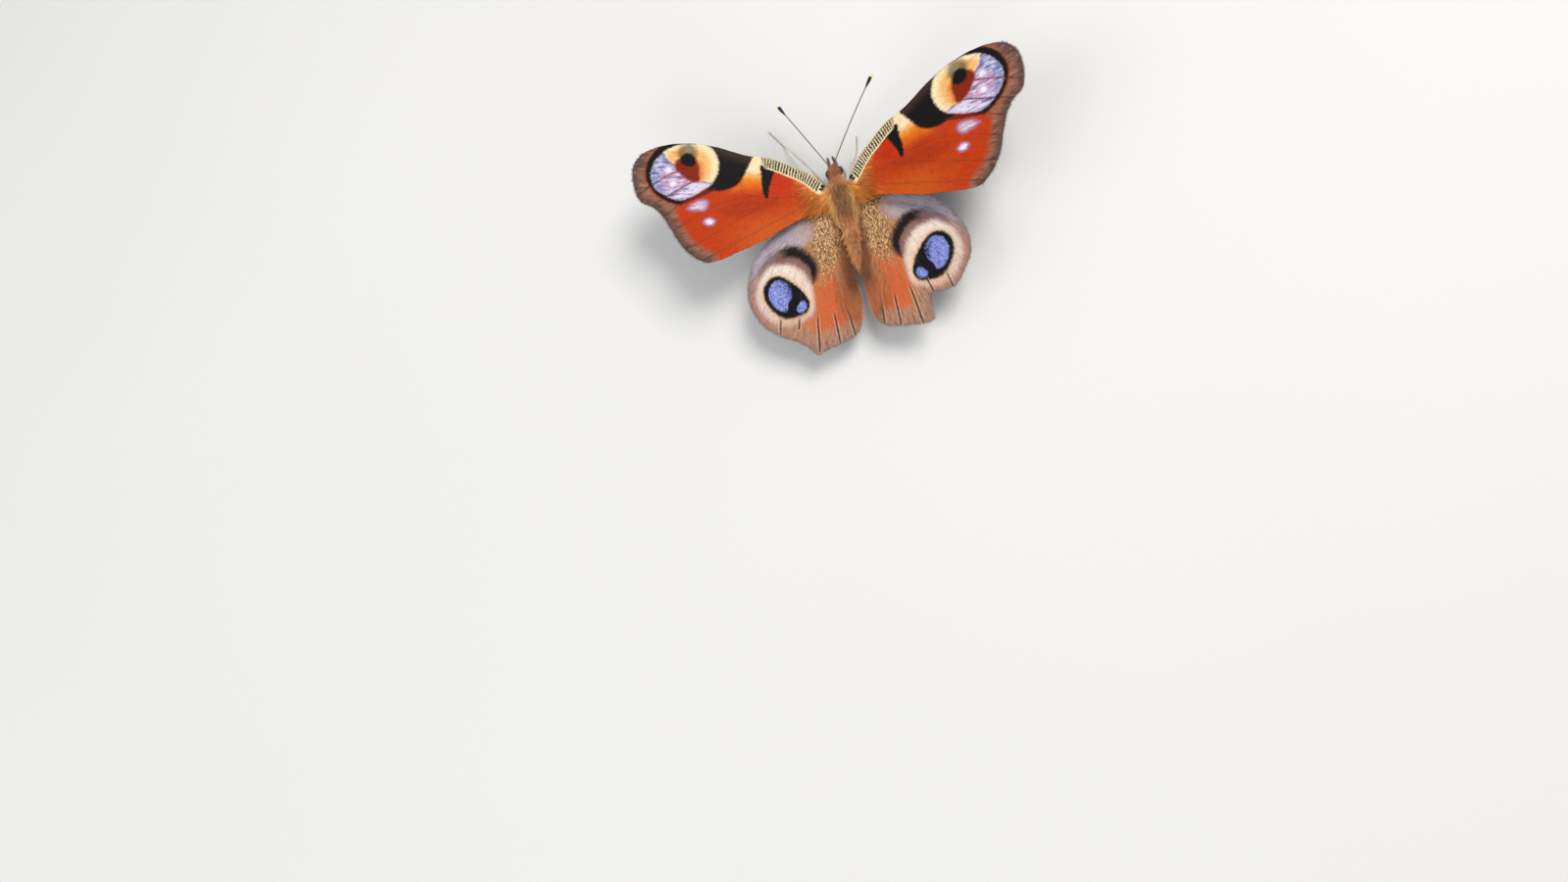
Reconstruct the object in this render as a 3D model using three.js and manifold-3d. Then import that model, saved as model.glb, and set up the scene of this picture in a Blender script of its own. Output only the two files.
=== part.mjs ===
// Peacock butterfly at rest with its wings spread, life size.
// Millimetres, +Z up, head toward +Y, the butterfly's own left at -X.
// It stands on four feet on the plane z = 0, and the origin is under the middle of its box.
import * as THREE from 'three';
import Module from 'manifold-3d';
import { mergeVertices } from 'three/addons/utils/BufferGeometryUtils.js';

const wasm = await Module();
wasm.setup();

// Driving dimensions of the body
const THORAX = { y: 0.1, halfLength: 3.4, halfWidth: 2.3, halfHeight: 2.2, z: 3.95 };
const HEAD = { y: 5.05, halfLength: 1.2, halfWidth: 1.3, halfHeight: 1.2, z: 4.15 };
const EYE = { x: 0.9, y: 5.1, z: 4.1, radius: 0.72 };
const ABDOMEN = { front: -3.55, tip: -11.1, halfWidth: 1.3, halfHeight: 1.35, zFront: 3.8, zTip: 2.7 };
const ABDOMEN_SIDE_BEND = -0.55;
const ABDOMEN_SEGMENTS = 7;
const SEGMENT_GROOVE = 0.05;

// Half widths follow a power of a half circle; the abdomen starts and runs at these shares of it
const ABDOMEN_TAPER = { start: 0.2, run: 0.745, power: 0.62 };
const BODY_GIRTH_POWER = 0.8;

// How far the first ring of a body form lies from its end, as a share of the ring spacing
const END_RING = 0.35;

const PALP = { x: 0.62, tipX: 0.4, rootY: 6.3, tipY: 7.55, rootZ: 3.3, tipZ: 4.5, radius: 0.3 };
const PALP_BOW = new THREE.Vector3(0, 0.22, -0.22);
const PALP_TAPER = [0.8, 1, 0.5];
const PROBOSCIS = { y: 6.55, z: 2.75, radius: 0.62, halfWidth: 0.26 };

// Feelers, with the point where each club ends
const ANTENNA_RADIUS = 0.26;
const CLUB_RADIUS = 0.42;
const CLUB_LENGTH = 2.1;
const ANTENNA_ROOT = new THREE.Vector3(0.5, 6.15, 5.15);
const ANTENNA_TIP = {
  left: new THREE.Vector3(-5.68, 18.34, 5.8),
  right: new THREE.Vector3(10.22, 16.46, 7.9),
};
const ANTENNA_RISE = 0.5;
const CLUB_BLUNTNESS = 0.85;

// Wings: thickness, and for each one its hinge, sweep about Z, rise of the tip and twist
const WING_THICKNESS = 0.5;
const WING_ARCH = { fore: 0.6, hind: 0.4 };
const WING_SPAN = { fore: 30, hind: 22 };
const INNER_FOLD = { from: 1.5, depth: 0.16 };
const HINGE = { fore: [2.0, 1.5, 5.2], hind: [2.0, -2.0, 4.3] };
const WING_POSE = {
  forewing_left: { sweep: 4.6, rise: 14.9, twist: 0 },
  forewing_right: { sweep: -4.6, rise: 16.5, twist: -2.3 },
  hindwing_left: { sweep: 4.1, rise: 7.1, twist: 1.0 },
  hindwing_right: { sweep: -4.1, rise: 6.7, twist: -1.7 },
};

// Wing outlines outward from the hinge and toward the head, starting at the front of the root
const FOREWING_OUTLINE = [
  [0.2, 1.9], [2.2, 4.0], [4.9, 5.8], [7.8, 7.5], [11.2, 8.5], [16.4, 11.1], [20.2, 12.3],
  [24.2, 12.7], [27.4, 12.1], [29.2, 10.2], [29.6, 7.4], [29.0, 4.5], [27.2, 3.1],
  [26.0, 1.5], [25.1, -0.7], [24.0, -3.6], [22.5, -5.8], [20.5, -7.4], [18.6, -7.4],
  [15.2, -6.6], [11.1, -5.5], [7.8, -4.2], [4.4, -2.9], [1.2, -1.6],
];
const HINDWING_FRONT = [
  [0.6, 1.2], [2.0, 1.7], [4.5, 1.4], [8.0, 0.1], [10.8, -1.3], [13.3, -3.7], [14.9, -6.3],
  [15.8, -9.6], [15.4, -12.3],
];
const HINDWING_TAIL = [[14.4, -14.3], [12.2, -16.6], [9.4, -18.2], [7.7, -19.7], [6.7, -20.9], [5.6, -20.5]];
const HINDWING_TORN = [[14.3, -13.9], [12.3, -16.1], [10.4, -16.4], [8.6, -16.2], [8.1, -18.4], [8.0, -20.4]];
const HINDWING_INNER = [
  [4.0, -20.1], [2.0, -19.7], [0.3, -19.1], [-0.7, -17.8], [-1.0, -15.4], [-0.9, -12.5],
  [-0.5, -9.0], [-0.25, -5.0], [0.0, -1.5],
];
const WING_HUB = { fore: [1.2, 0.3], hind: [1.0, -1.0] };
const MARGIN_STEPS = 66;
const WING_RINGS = 5;

// Legs: hip, knee and ankle, then the end of the first foot joint and the claws, which lie on the floor
const LEG_RADIUS = { femur: 0.38, knee: 0.3, ankle: 0.26, foot: 0.25 };
const SOLE_HEIGHT = 0.17;
const LEG_PATHS = {
  midleg_left: [[-1.3, 2.0, 2.3], [-3.6, 7.4, 3.3], [-6.3, 12.5, 1.2], [-7.3, 14.2], [-9.0, 17.25]],
  midleg_right: [[1.3, 1.6, 2.3], [5.7, 2.9, 3.6], [2.8, 6.7, 1.5], [3.9, 8.2], [4.65, 11.1]],
  hindleg_left: [[-1.3, -1.0, 2.2], [-5.6, -3.4, 3.2], [-7.9, -7.9, 1.3], [-8.4, -9.7], [-9.2, -13.0]],
  hindleg_right: [[1.3, -1.0, 2.2], [5.4, -3.8, 3.2], [7.2, -8.5, 1.3], [7.5, -10.3], [8.0, -13.6]],
};
const FORELEG_PATH = [[1.0, 3.6, 1.9], [1.35, 5.0, 2.1], [1.15, 6.2, 2.45]];
const FORELEG_RADIUS = 0.27;
const FORELEG_TAPER = [1, 1, 0.7];
const JOINT_GAP = 0.12;

// Clearances
const GAP = 0.3;
const EYE_GAP = 0.12;
const FLOOR_BLOCK = 60;

// Resolution of the rounded forms
const BODY_SIDES = 20;
const BODY_STATIONS = 10;
const LIMB_SIDES = 8;
const ANTENNA_STEPS = 14;

const FINISH = {
  hair: { color: 0x8a5a33, roughness: 0.9, metalness: 0 },
  face: { color: 0x6a4030, roughness: 0.9, metalness: 0 },
  eye: { color: 0x2a1c18, roughness: 0.35, metalness: 0 },
  upperWing: { color: 0xb5431f, roughness: 0.8, metalness: 0 },
  lowerWing: { color: 0xa86a45, roughness: 0.8, metalness: 0 },
  leg: { color: 0xb59a78, roughness: 0.7, metalness: 0 },
  feeler: { color: 0x3a2a24, roughness: 0.7, metalness: 0 },
};

// A closed mesh as a solid that can be cut
function solidOf(geometry) {
  const bare = geometry.clone();
  bare.deleteAttribute('normal');
  bare.deleteAttribute('uv');
  const merged = mergeVertices(bare, 1e-5);
  return new wasm.Manifold(new wasm.Mesh({
    numProp: 3,
    vertProperties: new Float32Array(merged.attributes.position.array),
    triVerts: new Uint32Array(merged.index.array),
  }));
}

function geometryOf(solid) {
  const { vertProperties, triVerts } = solid.getMesh();
  const geometry = new THREE.BufferGeometry();
  geometry.setAttribute('position', new THREE.BufferAttribute(new Float32Array(vertProperties), 3));
  geometry.setIndex(new THREE.BufferAttribute(new Uint32Array(triVerts), 1));
  geometry.computeVertexNormals();
  return geometry;
}

function cut(geometry, ...cutters) {
  return geometryOf(cutters.reduce((left, cutter) => left.subtract(solidOf(cutter)), solidOf(geometry)));
}

// A skin over rings of equally many points, closed by a fan at each end
function loft(rings) {
  const sides = rings[0].length;
  const points = rings.flat();
  const index = [];
  for (let r = 0; r + 1 < rings.length; r++) {
    for (let s = 0; s < sides; s++) {
      const a = r * sides + s;
      const b = r * sides + ((s + 1) % sides);
      index.push(a, b, b + sides, a, b + sides, a + sides);
    }
  }
  const closeEnd = (ring, start, flip) => {
    const middle = ring.reduce((sum, p) => sum.add(p), new THREE.Vector3()).divideScalar(sides);
    const hub = points.push(middle) - 1;
    for (let s = 0; s < sides; s++) {
      const a = start + s;
      const b = start + ((s + 1) % sides);
      index.push(...(flip ? [hub, b, a] : [hub, a, b]));
    }
  };
  closeEnd(rings[0], 0, true);
  closeEnd(rings[rings.length - 1], (rings.length - 1) * sides, false);
  const geometry = new THREE.BufferGeometry().setFromPoints(points);
  geometry.setIndex(index);
  geometry.computeVertexNormals();
  return geometry;
}

// An ellipse of points about a middle, across the direction of travel
function ellipse(middle, side, up, halfWidth, halfHeight, sides) {
  return Array.from({ length: sides }, (_, s) => {
    const turn = (2 * Math.PI * (s + 0.5)) / sides;
    return middle.clone()
      .addScaledVector(side, halfWidth * Math.cos(turn))
      .addScaledVector(up, halfHeight * Math.sin(turn));
  });
}

// A round limb along a path, with a radius at each point
function limb(points, radii, sides = LIMB_SIDES) {
  const rings = points.map((point, i) => {
    const before = points[Math.max(i - 1, 0)];
    const after = points[Math.min(i + 1, points.length - 1)];
    const along = after.clone().sub(before).normalize();
    const side = new THREE.Vector3(0, 0, 1).cross(along).normalize();
    const up = along.clone().cross(side);
    return ellipse(point, side, up, radii[i], radii[i], sides);
  });
  return loft(rings);
}

// A body form whose half width and half height follow a superellipse along Y
function bodyForm({ y, halfLength, halfWidth, halfHeight, z }, grow = 0) {
  const rings = [];
  for (let i = 0; i <= BODY_STATIONS; i++) {
    const turn = (Math.PI * (i + END_RING)) / (BODY_STATIONS + 2 * END_RING);
    const along = Math.cos(turn);
    const girth = Math.sin(turn) ** BODY_GIRTH_POWER;
    rings.push(ellipse(
      new THREE.Vector3(0, y - along * (halfLength + grow), z),
      new THREE.Vector3(-1, 0, 0),
      new THREE.Vector3(0, 0, 1),
      (halfWidth + grow) * girth,
      (halfHeight + grow) * girth,
      BODY_SIDES,
    ));
  }
  return loft(rings);
}

// The abdomen tapers to its tip, with a shallow groove between its segments
function abdomenForm(grow = 0) {
  const steps = ABDOMEN_SEGMENTS * 2;
  const rings = [];
  for (let i = 0; i <= steps; i++) {
    const t = i / steps;
    const groove = i % 2 === 0 ? SEGMENT_GROOVE : 0;
    const taper = Math.sin(Math.PI * (ABDOMEN_TAPER.start + ABDOMEN_TAPER.run * t)) ** ABDOMEN_TAPER.power;
    rings.push(ellipse(
      new THREE.Vector3(
        ABDOMEN_SIDE_BEND * t,
        ABDOMEN.front + (ABDOMEN.tip - ABDOMEN.front) * t + grow * (1 - 2 * t),
        ABDOMEN.zFront + (ABDOMEN.zTip - ABDOMEN.zFront) * t,
      ),
      new THREE.Vector3(1, 0, 0),
      new THREE.Vector3(0, 0, 1),
      ABDOMEN.halfWidth * taper - groove + grow,
      ABDOMEN.halfHeight * taper - groove + grow,
      BODY_SIDES,
    ));
  }
  return loft(rings);
}

function sphere({ x, y, z, radius }, side, grow = 0) {
  return new THREE.SphereGeometry(radius + grow, BODY_SIDES, BODY_STATIONS).translate(side * x, y, z);
}

// Height of a wing's middle surface above its hinge plane: an arch from root to tip
function archHeight(wing, out) {
  const share = Math.min(out / WING_SPAN[wing], 1);
  return WING_ARCH[wing] * Math.sin(Math.PI * share);
}
const forewingHeight = (u) => archHeight('fore', u);
function hindwingHeight(u, v) {
  return archHeight('hind', Math.hypot(u, v)) - INNER_FOLD.depth * Math.max(INNER_FOLD.from - u, 0) ** 2;
}

// A thin wing: rings of points shrink from the margin to a hub, above and below
function wingForm(outline, hub, height) {
  const corners = outline.map(([u, v]) => new THREE.Vector3(u, v, 0));
  const margin = new THREE.CatmullRomCurve3(corners, true, 'centripetal').getSpacedPoints(MARGIN_STEPS);
  margin.pop();
  margin.reverse();
  const at = (share, point, lift) => {
    const u = hub[0] + share * (point.x - hub[0]);
    const v = hub[1] + share * (point.y - hub[1]);
    return new THREE.Vector3(u, v, height(u, v) + lift);
  };
  const face = (lift) => {
    const rings = [];
    for (let r = 1; r <= WING_RINGS; r++) rings.push(margin.map((p) => at(r / WING_RINGS, p, lift)));
    return rings;
  };
  return loft([...face(-WING_THICKNESS / 2), ...face(WING_THICKNESS / 2).reverse()]);
}

// Lays a wing built for the right side at its hinge, mirrored for the left side
function placeWing(geometry, name, hinge) {
  const { sweep, rise, twist } = WING_POSE[name];
  const turn = THREE.MathUtils.degToRad;
  const pose = new THREE.Matrix4().makeTranslation(...hinge)
    .multiply(new THREE.Matrix4().makeRotationZ(turn(sweep)))
    .multiply(new THREE.Matrix4().makeRotationY(-turn(rise)))
    .multiply(new THREE.Matrix4().makeRotationX(turn(twist)));
  geometry.applyMatrix4(pose);
  if (name.endsWith('left')) {
    geometry.scale(-1, 1, 1);
    const index = geometry.index.array;
    for (let i = 0; i < index.length; i += 3) [index[i], index[i + 1]] = [index[i + 1], index[i]];
  }
  return geometry;
}

// The shaft rises in a shallow bow, and the club ends in a blunt point
function antennaForm(sideName) {
  const side = sideName === 'left' ? -1 : 1;
  const root = ANTENNA_ROOT.clone();
  root.x *= side;
  const tip = ANTENNA_TIP[sideName];
  const length = tip.distanceTo(root);
  const points = [];
  const radii = [];
  for (let i = 0; i <= ANTENNA_STEPS; i++) {
    const t = i / ANTENNA_STEPS;
    const point = root.clone().lerp(tip, t);
    point.z += ANTENNA_RISE * Math.sin(Math.PI * t);
    points.push(point);
    const intoClub = THREE.MathUtils.clamp(1 - ((1 - t) * length) / CLUB_LENGTH, 0, 1);
    const swell = Math.sin(Math.PI * CLUB_BLUNTNESS * intoClub);
    radii.push(ANTENNA_RADIUS + (CLUB_RADIUS - ANTENNA_RADIUS) * swell);
  }
  return limb(points, radii);
}

// A point on the way from one joint to the next, kept clear of the joint
function clearOf(from, to, gap) {
  return from.clone().add(to.clone().sub(from).setLength(gap));
}

const thoraxGrown = bodyForm(THORAX, GAP);
const abdomenGrown = abdomenForm(GAP);
const floorBlock = new THREE.BoxGeometry(FLOOR_BLOCK, FLOOR_BLOCK, FLOOR_BLOCK);
const underFloor = floorBlock.translate(0, 0, -FLOOR_BLOCK / 2);

const butterfly = new THREE.Group();

function add(name, geometry, finish) {
  const mesh = new THREE.Mesh(geometry, new THREE.MeshStandardMaterial(FINISH[finish]));
  mesh.name = name;
  butterfly.add(mesh);
}

function addBody() {
  add('thorax', bodyForm(THORAX), 'hair');
  add('abdomen', abdomenForm(), 'hair');
  add('head', cut(bodyForm(HEAD), sphere(EYE, 1, EYE_GAP), sphere(EYE, -1, EYE_GAP)), 'face');
}

function addFace(sideName, side) {
  add(`eye_${sideName}`, sphere(EYE, side), 'eye');
  const root = new THREE.Vector3(side * PALP.x, PALP.rootY, PALP.rootZ);
  const tip = new THREE.Vector3(side * PALP.tipX, PALP.tipY, PALP.tipZ);
  const middle = root.clone().lerp(tip, 0.5).add(PALP_BOW);
  const radii = PALP_TAPER.map((share) => share * PALP.radius);
  add(`palp_${sideName}`, limb([root, middle, tip], radii), 'face');
  const antenna = cut(antennaForm(sideName), bodyForm(HEAD, EYE_GAP), sphere(EYE, side, EYE_GAP));
  add(`antenna_${sideName}`, antenna, 'feeler');
}

// The coiled tongue under the face
function addProboscis() {
  const { y, z, radius, halfWidth } = PROBOSCIS;
  const coil = new THREE.CylinderGeometry(radius, radius, 2 * halfWidth, BODY_SIDES).rotateZ(Math.PI / 2);
  add('proboscis', coil.translate(0, y, z), 'feeler');
}

function addWings(sideName) {
  const fore = wingForm(FOREWING_OUTLINE, WING_HUB.fore, forewingHeight);
  const foreName = `forewing_${sideName}`;
  add(foreName, cut(placeWing(fore, foreName, HINGE.fore), thoraxGrown), 'upperWing');
  const rear = sideName === 'left' ? HINDWING_TAIL : HINDWING_TORN;
  const hind = wingForm([...HINDWING_FRONT, ...rear, ...HINDWING_INNER], WING_HUB.hind, hindwingHeight);
  const hindName = `hindwing_${sideName}`;
  add(hindName, cut(placeWing(hind, hindName, HINGE.hind), thoraxGrown, abdomenGrown), 'lowerWing');
}

// The reduced front leg, held folded under the face
function addForeleg(sideName, side) {
  const points = FORELEG_PATH.map(([x, y, z]) => new THREE.Vector3(side * x, y, z));
  const leg = limb(points, FORELEG_TAPER.map((share) => share * FORELEG_RADIUS));
  add(`foreleg_${sideName}`, cut(leg, thoraxGrown), 'leg');
}

// A walking leg: thigh, shin, and a foot that is flat where it meets the floor
function addWalkingLeg(name) {
  const points = LEG_PATHS[name].map(([x, y, z = SOLE_HEIGHT]) => new THREE.Vector3(x, y, z));
  const [hip, knee, ankle, joint, claws] = points;
  const { femur, knee: kneeRadius, ankle: ankleRadius, foot } = LEG_RADIUS;
  const thigh = limb([hip, clearOf(knee, hip, JOINT_GAP + kneeRadius)], [femur, kneeRadius]);
  add(`${name}_femur`, cut(thigh, thoraxGrown), 'leg');
  const shin = limb(
    [clearOf(knee, ankle, kneeRadius), clearOf(ankle, knee, ankleRadius + JOINT_GAP)],
    [kneeRadius, ankleRadius],
  );
  add(`${name}_tibia`, shin, 'leg');
  const sole = limb([clearOf(ankle, joint, ankleRadius), joint, claws], [ankleRadius, foot, foot]);
  add(`${name}_tarsus`, cut(sole, underFloor), 'leg');
}

addBody();
addProboscis();
for (const [sideName, side] of [['left', -1], ['right', 1]]) {
  addFace(sideName, side);
  addWings(sideName);
  addForeleg(sideName, side);
  addWalkingLeg(`midleg_${sideName}`);
  addWalkingLeg(`hindleg_${sideName}`);
}

// Centre the whole butterfly over the origin
const box = new THREE.Box3().setFromObject(butterfly);
const centre = box.getCenter(new THREE.Vector3());
butterfly.position.set(-centre.x, -centre.y, 0);

export default butterfly;
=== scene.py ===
"""The looks of a life-size peacock butterfly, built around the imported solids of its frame."""
import logging
import math
from dataclasses import dataclass, field, replace
from enum import Enum
from functools import reduce
from typing import Callable, Sequence

import bpy
import numpy as np
from mathutils import Matrix, Vector


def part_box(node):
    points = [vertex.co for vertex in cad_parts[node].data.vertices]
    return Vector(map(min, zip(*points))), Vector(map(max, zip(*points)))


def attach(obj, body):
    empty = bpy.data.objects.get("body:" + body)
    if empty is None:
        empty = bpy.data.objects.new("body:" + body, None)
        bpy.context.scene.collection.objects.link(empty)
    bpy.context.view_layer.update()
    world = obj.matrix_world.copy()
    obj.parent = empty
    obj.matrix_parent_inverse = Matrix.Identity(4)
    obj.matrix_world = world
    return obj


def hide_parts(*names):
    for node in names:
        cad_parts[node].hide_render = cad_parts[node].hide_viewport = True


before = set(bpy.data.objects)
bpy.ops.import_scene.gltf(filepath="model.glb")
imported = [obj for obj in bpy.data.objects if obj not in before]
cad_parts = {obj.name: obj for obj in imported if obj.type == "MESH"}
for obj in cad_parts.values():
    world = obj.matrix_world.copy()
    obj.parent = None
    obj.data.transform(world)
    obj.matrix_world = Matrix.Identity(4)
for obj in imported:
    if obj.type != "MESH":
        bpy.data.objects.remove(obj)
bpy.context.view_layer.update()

logging.basicConfig(level=logging.INFO, format="%(message)s")
LOG = logging.getLogger("butterfly")

MM = 0.001
BODY = "root"
BAKE_MAP = "OFBake"
TUFT_PATCH = 0.003
THORAX_MIDDLE_Y = 0.1
TURN = 2.0 * math.pi
FAR_OFF = 1e9
TINY = 1e-12
Array = np.ndarray
Colour = tuple[float, float, float, float]
Spot = tuple[float, float]
Place = tuple[float, float, float]
Material = bpy.types.Material
Piece = bpy.types.Object
Socket = bpy.types.NodeSocket


def body_origin() -> Array:
    """Finds the offset in millimetres from the body's own origin to the frame's.

    Returns:
        The offset that is added to every point of the body.
    """
    low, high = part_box("thorax")
    middle = (low + high) / 2 / MM
    return np.array([middle.x, middle.y - THORAX_MIDDLE_Y, 0.0])


ORIGIN = body_origin()


def shade(*channels: int) -> Colour:
    """Turns a display colour of 0 to 255 a channel into the linear colour of the scene.

    Args:
        *channels: Red, green and blue as shown on a screen.

    Returns:
        The linear colour with full alpha.
    """
    def linear(share: float) -> float:
        """Undoes the screen's tone curve for one channel."""
        return share / 12.92 if share <= 0.04045 else ((share + 0.055) / 1.055) ** 2.4
    return (*(linear(value / 255.0) for value in channels), 1.0)


def unit(vectors: Array) -> Array:
    """Scales vectors to length one along the last axis."""
    return vectors / np.maximum(np.linalg.norm(vectors, axis=-1, keepdims=True), TINY)


def smooth_step(low: float, high: float, value: Array) -> Array:
    """Eases from 0 at low to 1 at high."""
    share = np.clip((value - low) / (high - low), 0.0, 1.0)
    return share * share * (3.0 - 2.0 * share)


def lengths_along(points: Array) -> Array:
    """Measures how far along a line each of its points is."""
    return np.concatenate([[0.0], np.cumsum(np.linalg.norm(np.diff(points, axis=0), axis=1))])


def evenly(points: Array, count: int) -> Array:
    """Spaces a number of points evenly along a line, both ends included.

    Args:
        points: The points.
        count: How many are wanted.

    Returns:
        The points.
    """
    along = lengths_along(points)
    wanted = np.linspace(0.0, along[-1], count)
    return np.stack([np.interp(wanted, along, axis) for axis in points.T], axis=1)


def flowing(points: Sequence[Sequence[float]], count: int, closed: bool = False) -> Array:
    """Draws a centripetal spline through points.

    Args:
        points: The points that it passes through.
        count: How many evenly spaced points are wanted.
        closed: Whether the line returns to its start.

    Returns:
        The points on the spline, without a repeated last one where it is closed.
    """
    pts = np.asarray(points, float)
    if closed:
        around = np.concatenate([pts[-1:], pts, pts[:2]])
    else:
        around = np.concatenate([[2 * pts[0] - pts[1]], pts, [2 * pts[-1] - pts[-2]]])
    dense = []
    share = np.linspace(0.0, 1.0, 16, endpoint=False)[:, None]
    for p0, p1, p2, p3 in zip(around, around[1:], around[2:], around[3:]):
        k0, k1, k2 = (max(np.linalg.norm(b - a) ** 0.5, 1e-6) for a, b in ((p0, p1), (p1, p2), (p2, p3)))
        m1 = ((p1 - p0) / k0 - (p2 - p0) / (k0 + k1) + (p2 - p1) / k1) * k1
        m2 = ((p2 - p1) / k1 - (p3 - p1) / (k1 + k2) + (p3 - p2) / k2) * k1
        cubic = share**2 * (3 * (p2 - p1) - 2 * m1 - m2) + share**3 * (2 * (p1 - p2) + m1 + m2)
        dense.append(p1 + share * m1 + cubic)
    dense.append(around[-2][None, :])
    line = evenly(np.concatenate(dense), count + 1 if closed else count)
    return line[:-1] if closed else line


def carry(mesh: bpy.types.Mesh, vectors: dict[str, Array]) -> None:
    """Stores vectors on the points of a mesh, by name.

    Args:
        mesh: The mesh.
        vectors: The vectors of its points, by name.
    """
    for name, values in vectors.items():
        layer = mesh.attributes.new(name, "FLOAT_VECTOR", "POINT")
        layer.data.foreach_set("vector", np.asarray(values, np.float32).ravel())


def in_scene(name: str, data: bpy.types.ID) -> Piece:
    """Makes an object and puts it in the scene.

    Args:
        name: The object's name.
        data: What the object shows.

    Returns:
        The object.
    """
    thing = bpy.data.objects.new(name, data)
    bpy.context.scene.collection.objects.link(thing)
    return thing


def settle(piece: Piece, slot: str, *nodes: str) -> None:
    """Rides a piece on the body and hides the solids that it stands for.

    Args:
        piece: The finished piece.
        slot: The material slot; not used.
        *nodes: The solids that it stands for.
    """
    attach(piece, BODY)
    if nodes:
        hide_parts(*nodes)
    LOG.info("%s: %d faces", piece.name, len(piece.data.polygons))


@dataclass
class Shape:
    """A mesh in the making: points in millimetres, faces and what each point carries."""

    points: Array
    faces: list[tuple[int, ...]]
    place: Array
    extra: dict[str, Array] = field(default_factory=dict)
    slots: list[int] = field(default_factory=list)

    def build(self, name: str, *materials: Material) -> Piece:
        """Makes the smooth object, with its finishes in the order of its slots.

        Args:
            name: The object's name.
            *materials: The finishes, in the order of the slots.

        Returns:
            The object.
        """
        mesh = bpy.data.meshes.new(name)
        mesh.from_pydata(((self.points + ORIGIN) * MM).tolist(), [], self.faces)
        carry(mesh, {"place": self.place, **self.extra})
        for material in materials:
            mesh.materials.append(material)
        if self.slots:
            mesh.polygons.foreach_set("material_index", self.slots)
        mesh.polygons.foreach_set("use_smooth", [True] * len(mesh.polygons))
        mesh.update()
        return in_scene(name, mesh)


def merged(shapes: Sequence[Shape]) -> Shape:
    """Puts several shapes into one.

    Args:
        shapes: The shapes, which all carry the same things.

    Returns:
        The shape.
    """
    start = 0
    faces: list[tuple[int, ...]] = []
    slots: list[int] = []
    for shape in shapes:
        faces += [tuple(i + start for i in face) for face in shape.faces]
        slots += shape.slots or [0] * len(shape.faces)
        start += len(shape.points)
    extra = {key: np.concatenate([shape.extra[key] for shape in shapes]) for key in shapes[0].extra}
    points, place = (np.concatenate([getattr(shape, key) for shape in shapes]) for key in ("points", "place"))
    return Shape(points, faces, place, extra, slots)


@dataclass(frozen=True)
class Patch:
    """A rounded patch of a marking, in millimetres on the wing.

    Its corners can all be seen from its middle, and its edge is as wide as it is soft.
    """

    middle: Spot
    corners: tuple[Spot, ...]
    soft: float

    def edge(self) -> tuple[list[Spot], float]:
        """Gives how far the edge is all the way round, as shares of a reach, and the reach.

        Returns:
            The turns with their shares, and the reach.
        """
        x, y = self.middle
        around = sorted(self.corners, key=lambda c: math.atan2(c[1] - y, c[0] - x))
        line = flowing(around, 4 * len(around), closed=True) - np.array(self.middle)
        away = np.hypot(line[:, 0], line[:, 1])
        reach = 1.05 * float(away.max())
        turns = np.arctan2(line[:, 1], line[:, 0]) / TURN + 0.5
        polar = sorted(zip(turns.tolist(), (away / reach).tolist()))
        (first, near), (last, far) = polar[0], polar[-1]
        seam = far + (near - far) * (1.0 - last) / (first + 1.0 - last)
        return [(0.0, seam), *polar, (1.0, seam)], reach


def operator(name: str, swapped: bool = False) -> Callable[["Wire", "Wire | float"], "Wire"]:
    """Makes a Python operator that adds a Math node.

    Args:
        name: The node's operation.
        swapped: Whether the wire is the second value, as in 1 - mask.

    Returns:
        The method for the Wire class.
    """
    def apply(wire: "Wire", other: "Wire | float") -> "Wire":
        """Adds the node to the wire's tree."""
        return wire.tree.math(name, *((other, wire) if swapped else (wire, other)))
    return apply


@dataclass(frozen=True)
class Wire:
    """One value in a shader tree, worked on with Python's operators."""

    tree: "ShaderTree"
    socket: bpy.types.NodeSocket

    __add__, __radd__ = operator("ADD"), operator("ADD", swapped=True)
    __sub__, __rsub__ = operator("SUBTRACT"), operator("SUBTRACT", swapped=True)
    __mul__, __rmul__ = operator("MULTIPLY"), operator("MULTIPLY", swapped=True)
    __truediv__, __rtruediv__ = operator("DIVIDE"), operator("DIVIDE", swapped=True)

    def rises(self, low: float, high: float) -> "Wire":
        """Eases from 0 at low to 1 at high."""
        sockets = {"Value": self, "From Min": low, "From Max": high}
        return self.tree.node("ShaderNodeMapRange", {"interpolation_type": "SMOOTHSTEP"}, sockets, "Result")

    def falls(self, low: float, high: float) -> "Wire":
        """Eases from 1 at low to 0 at high."""
        return 1.0 - self.rises(low, high)


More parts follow.
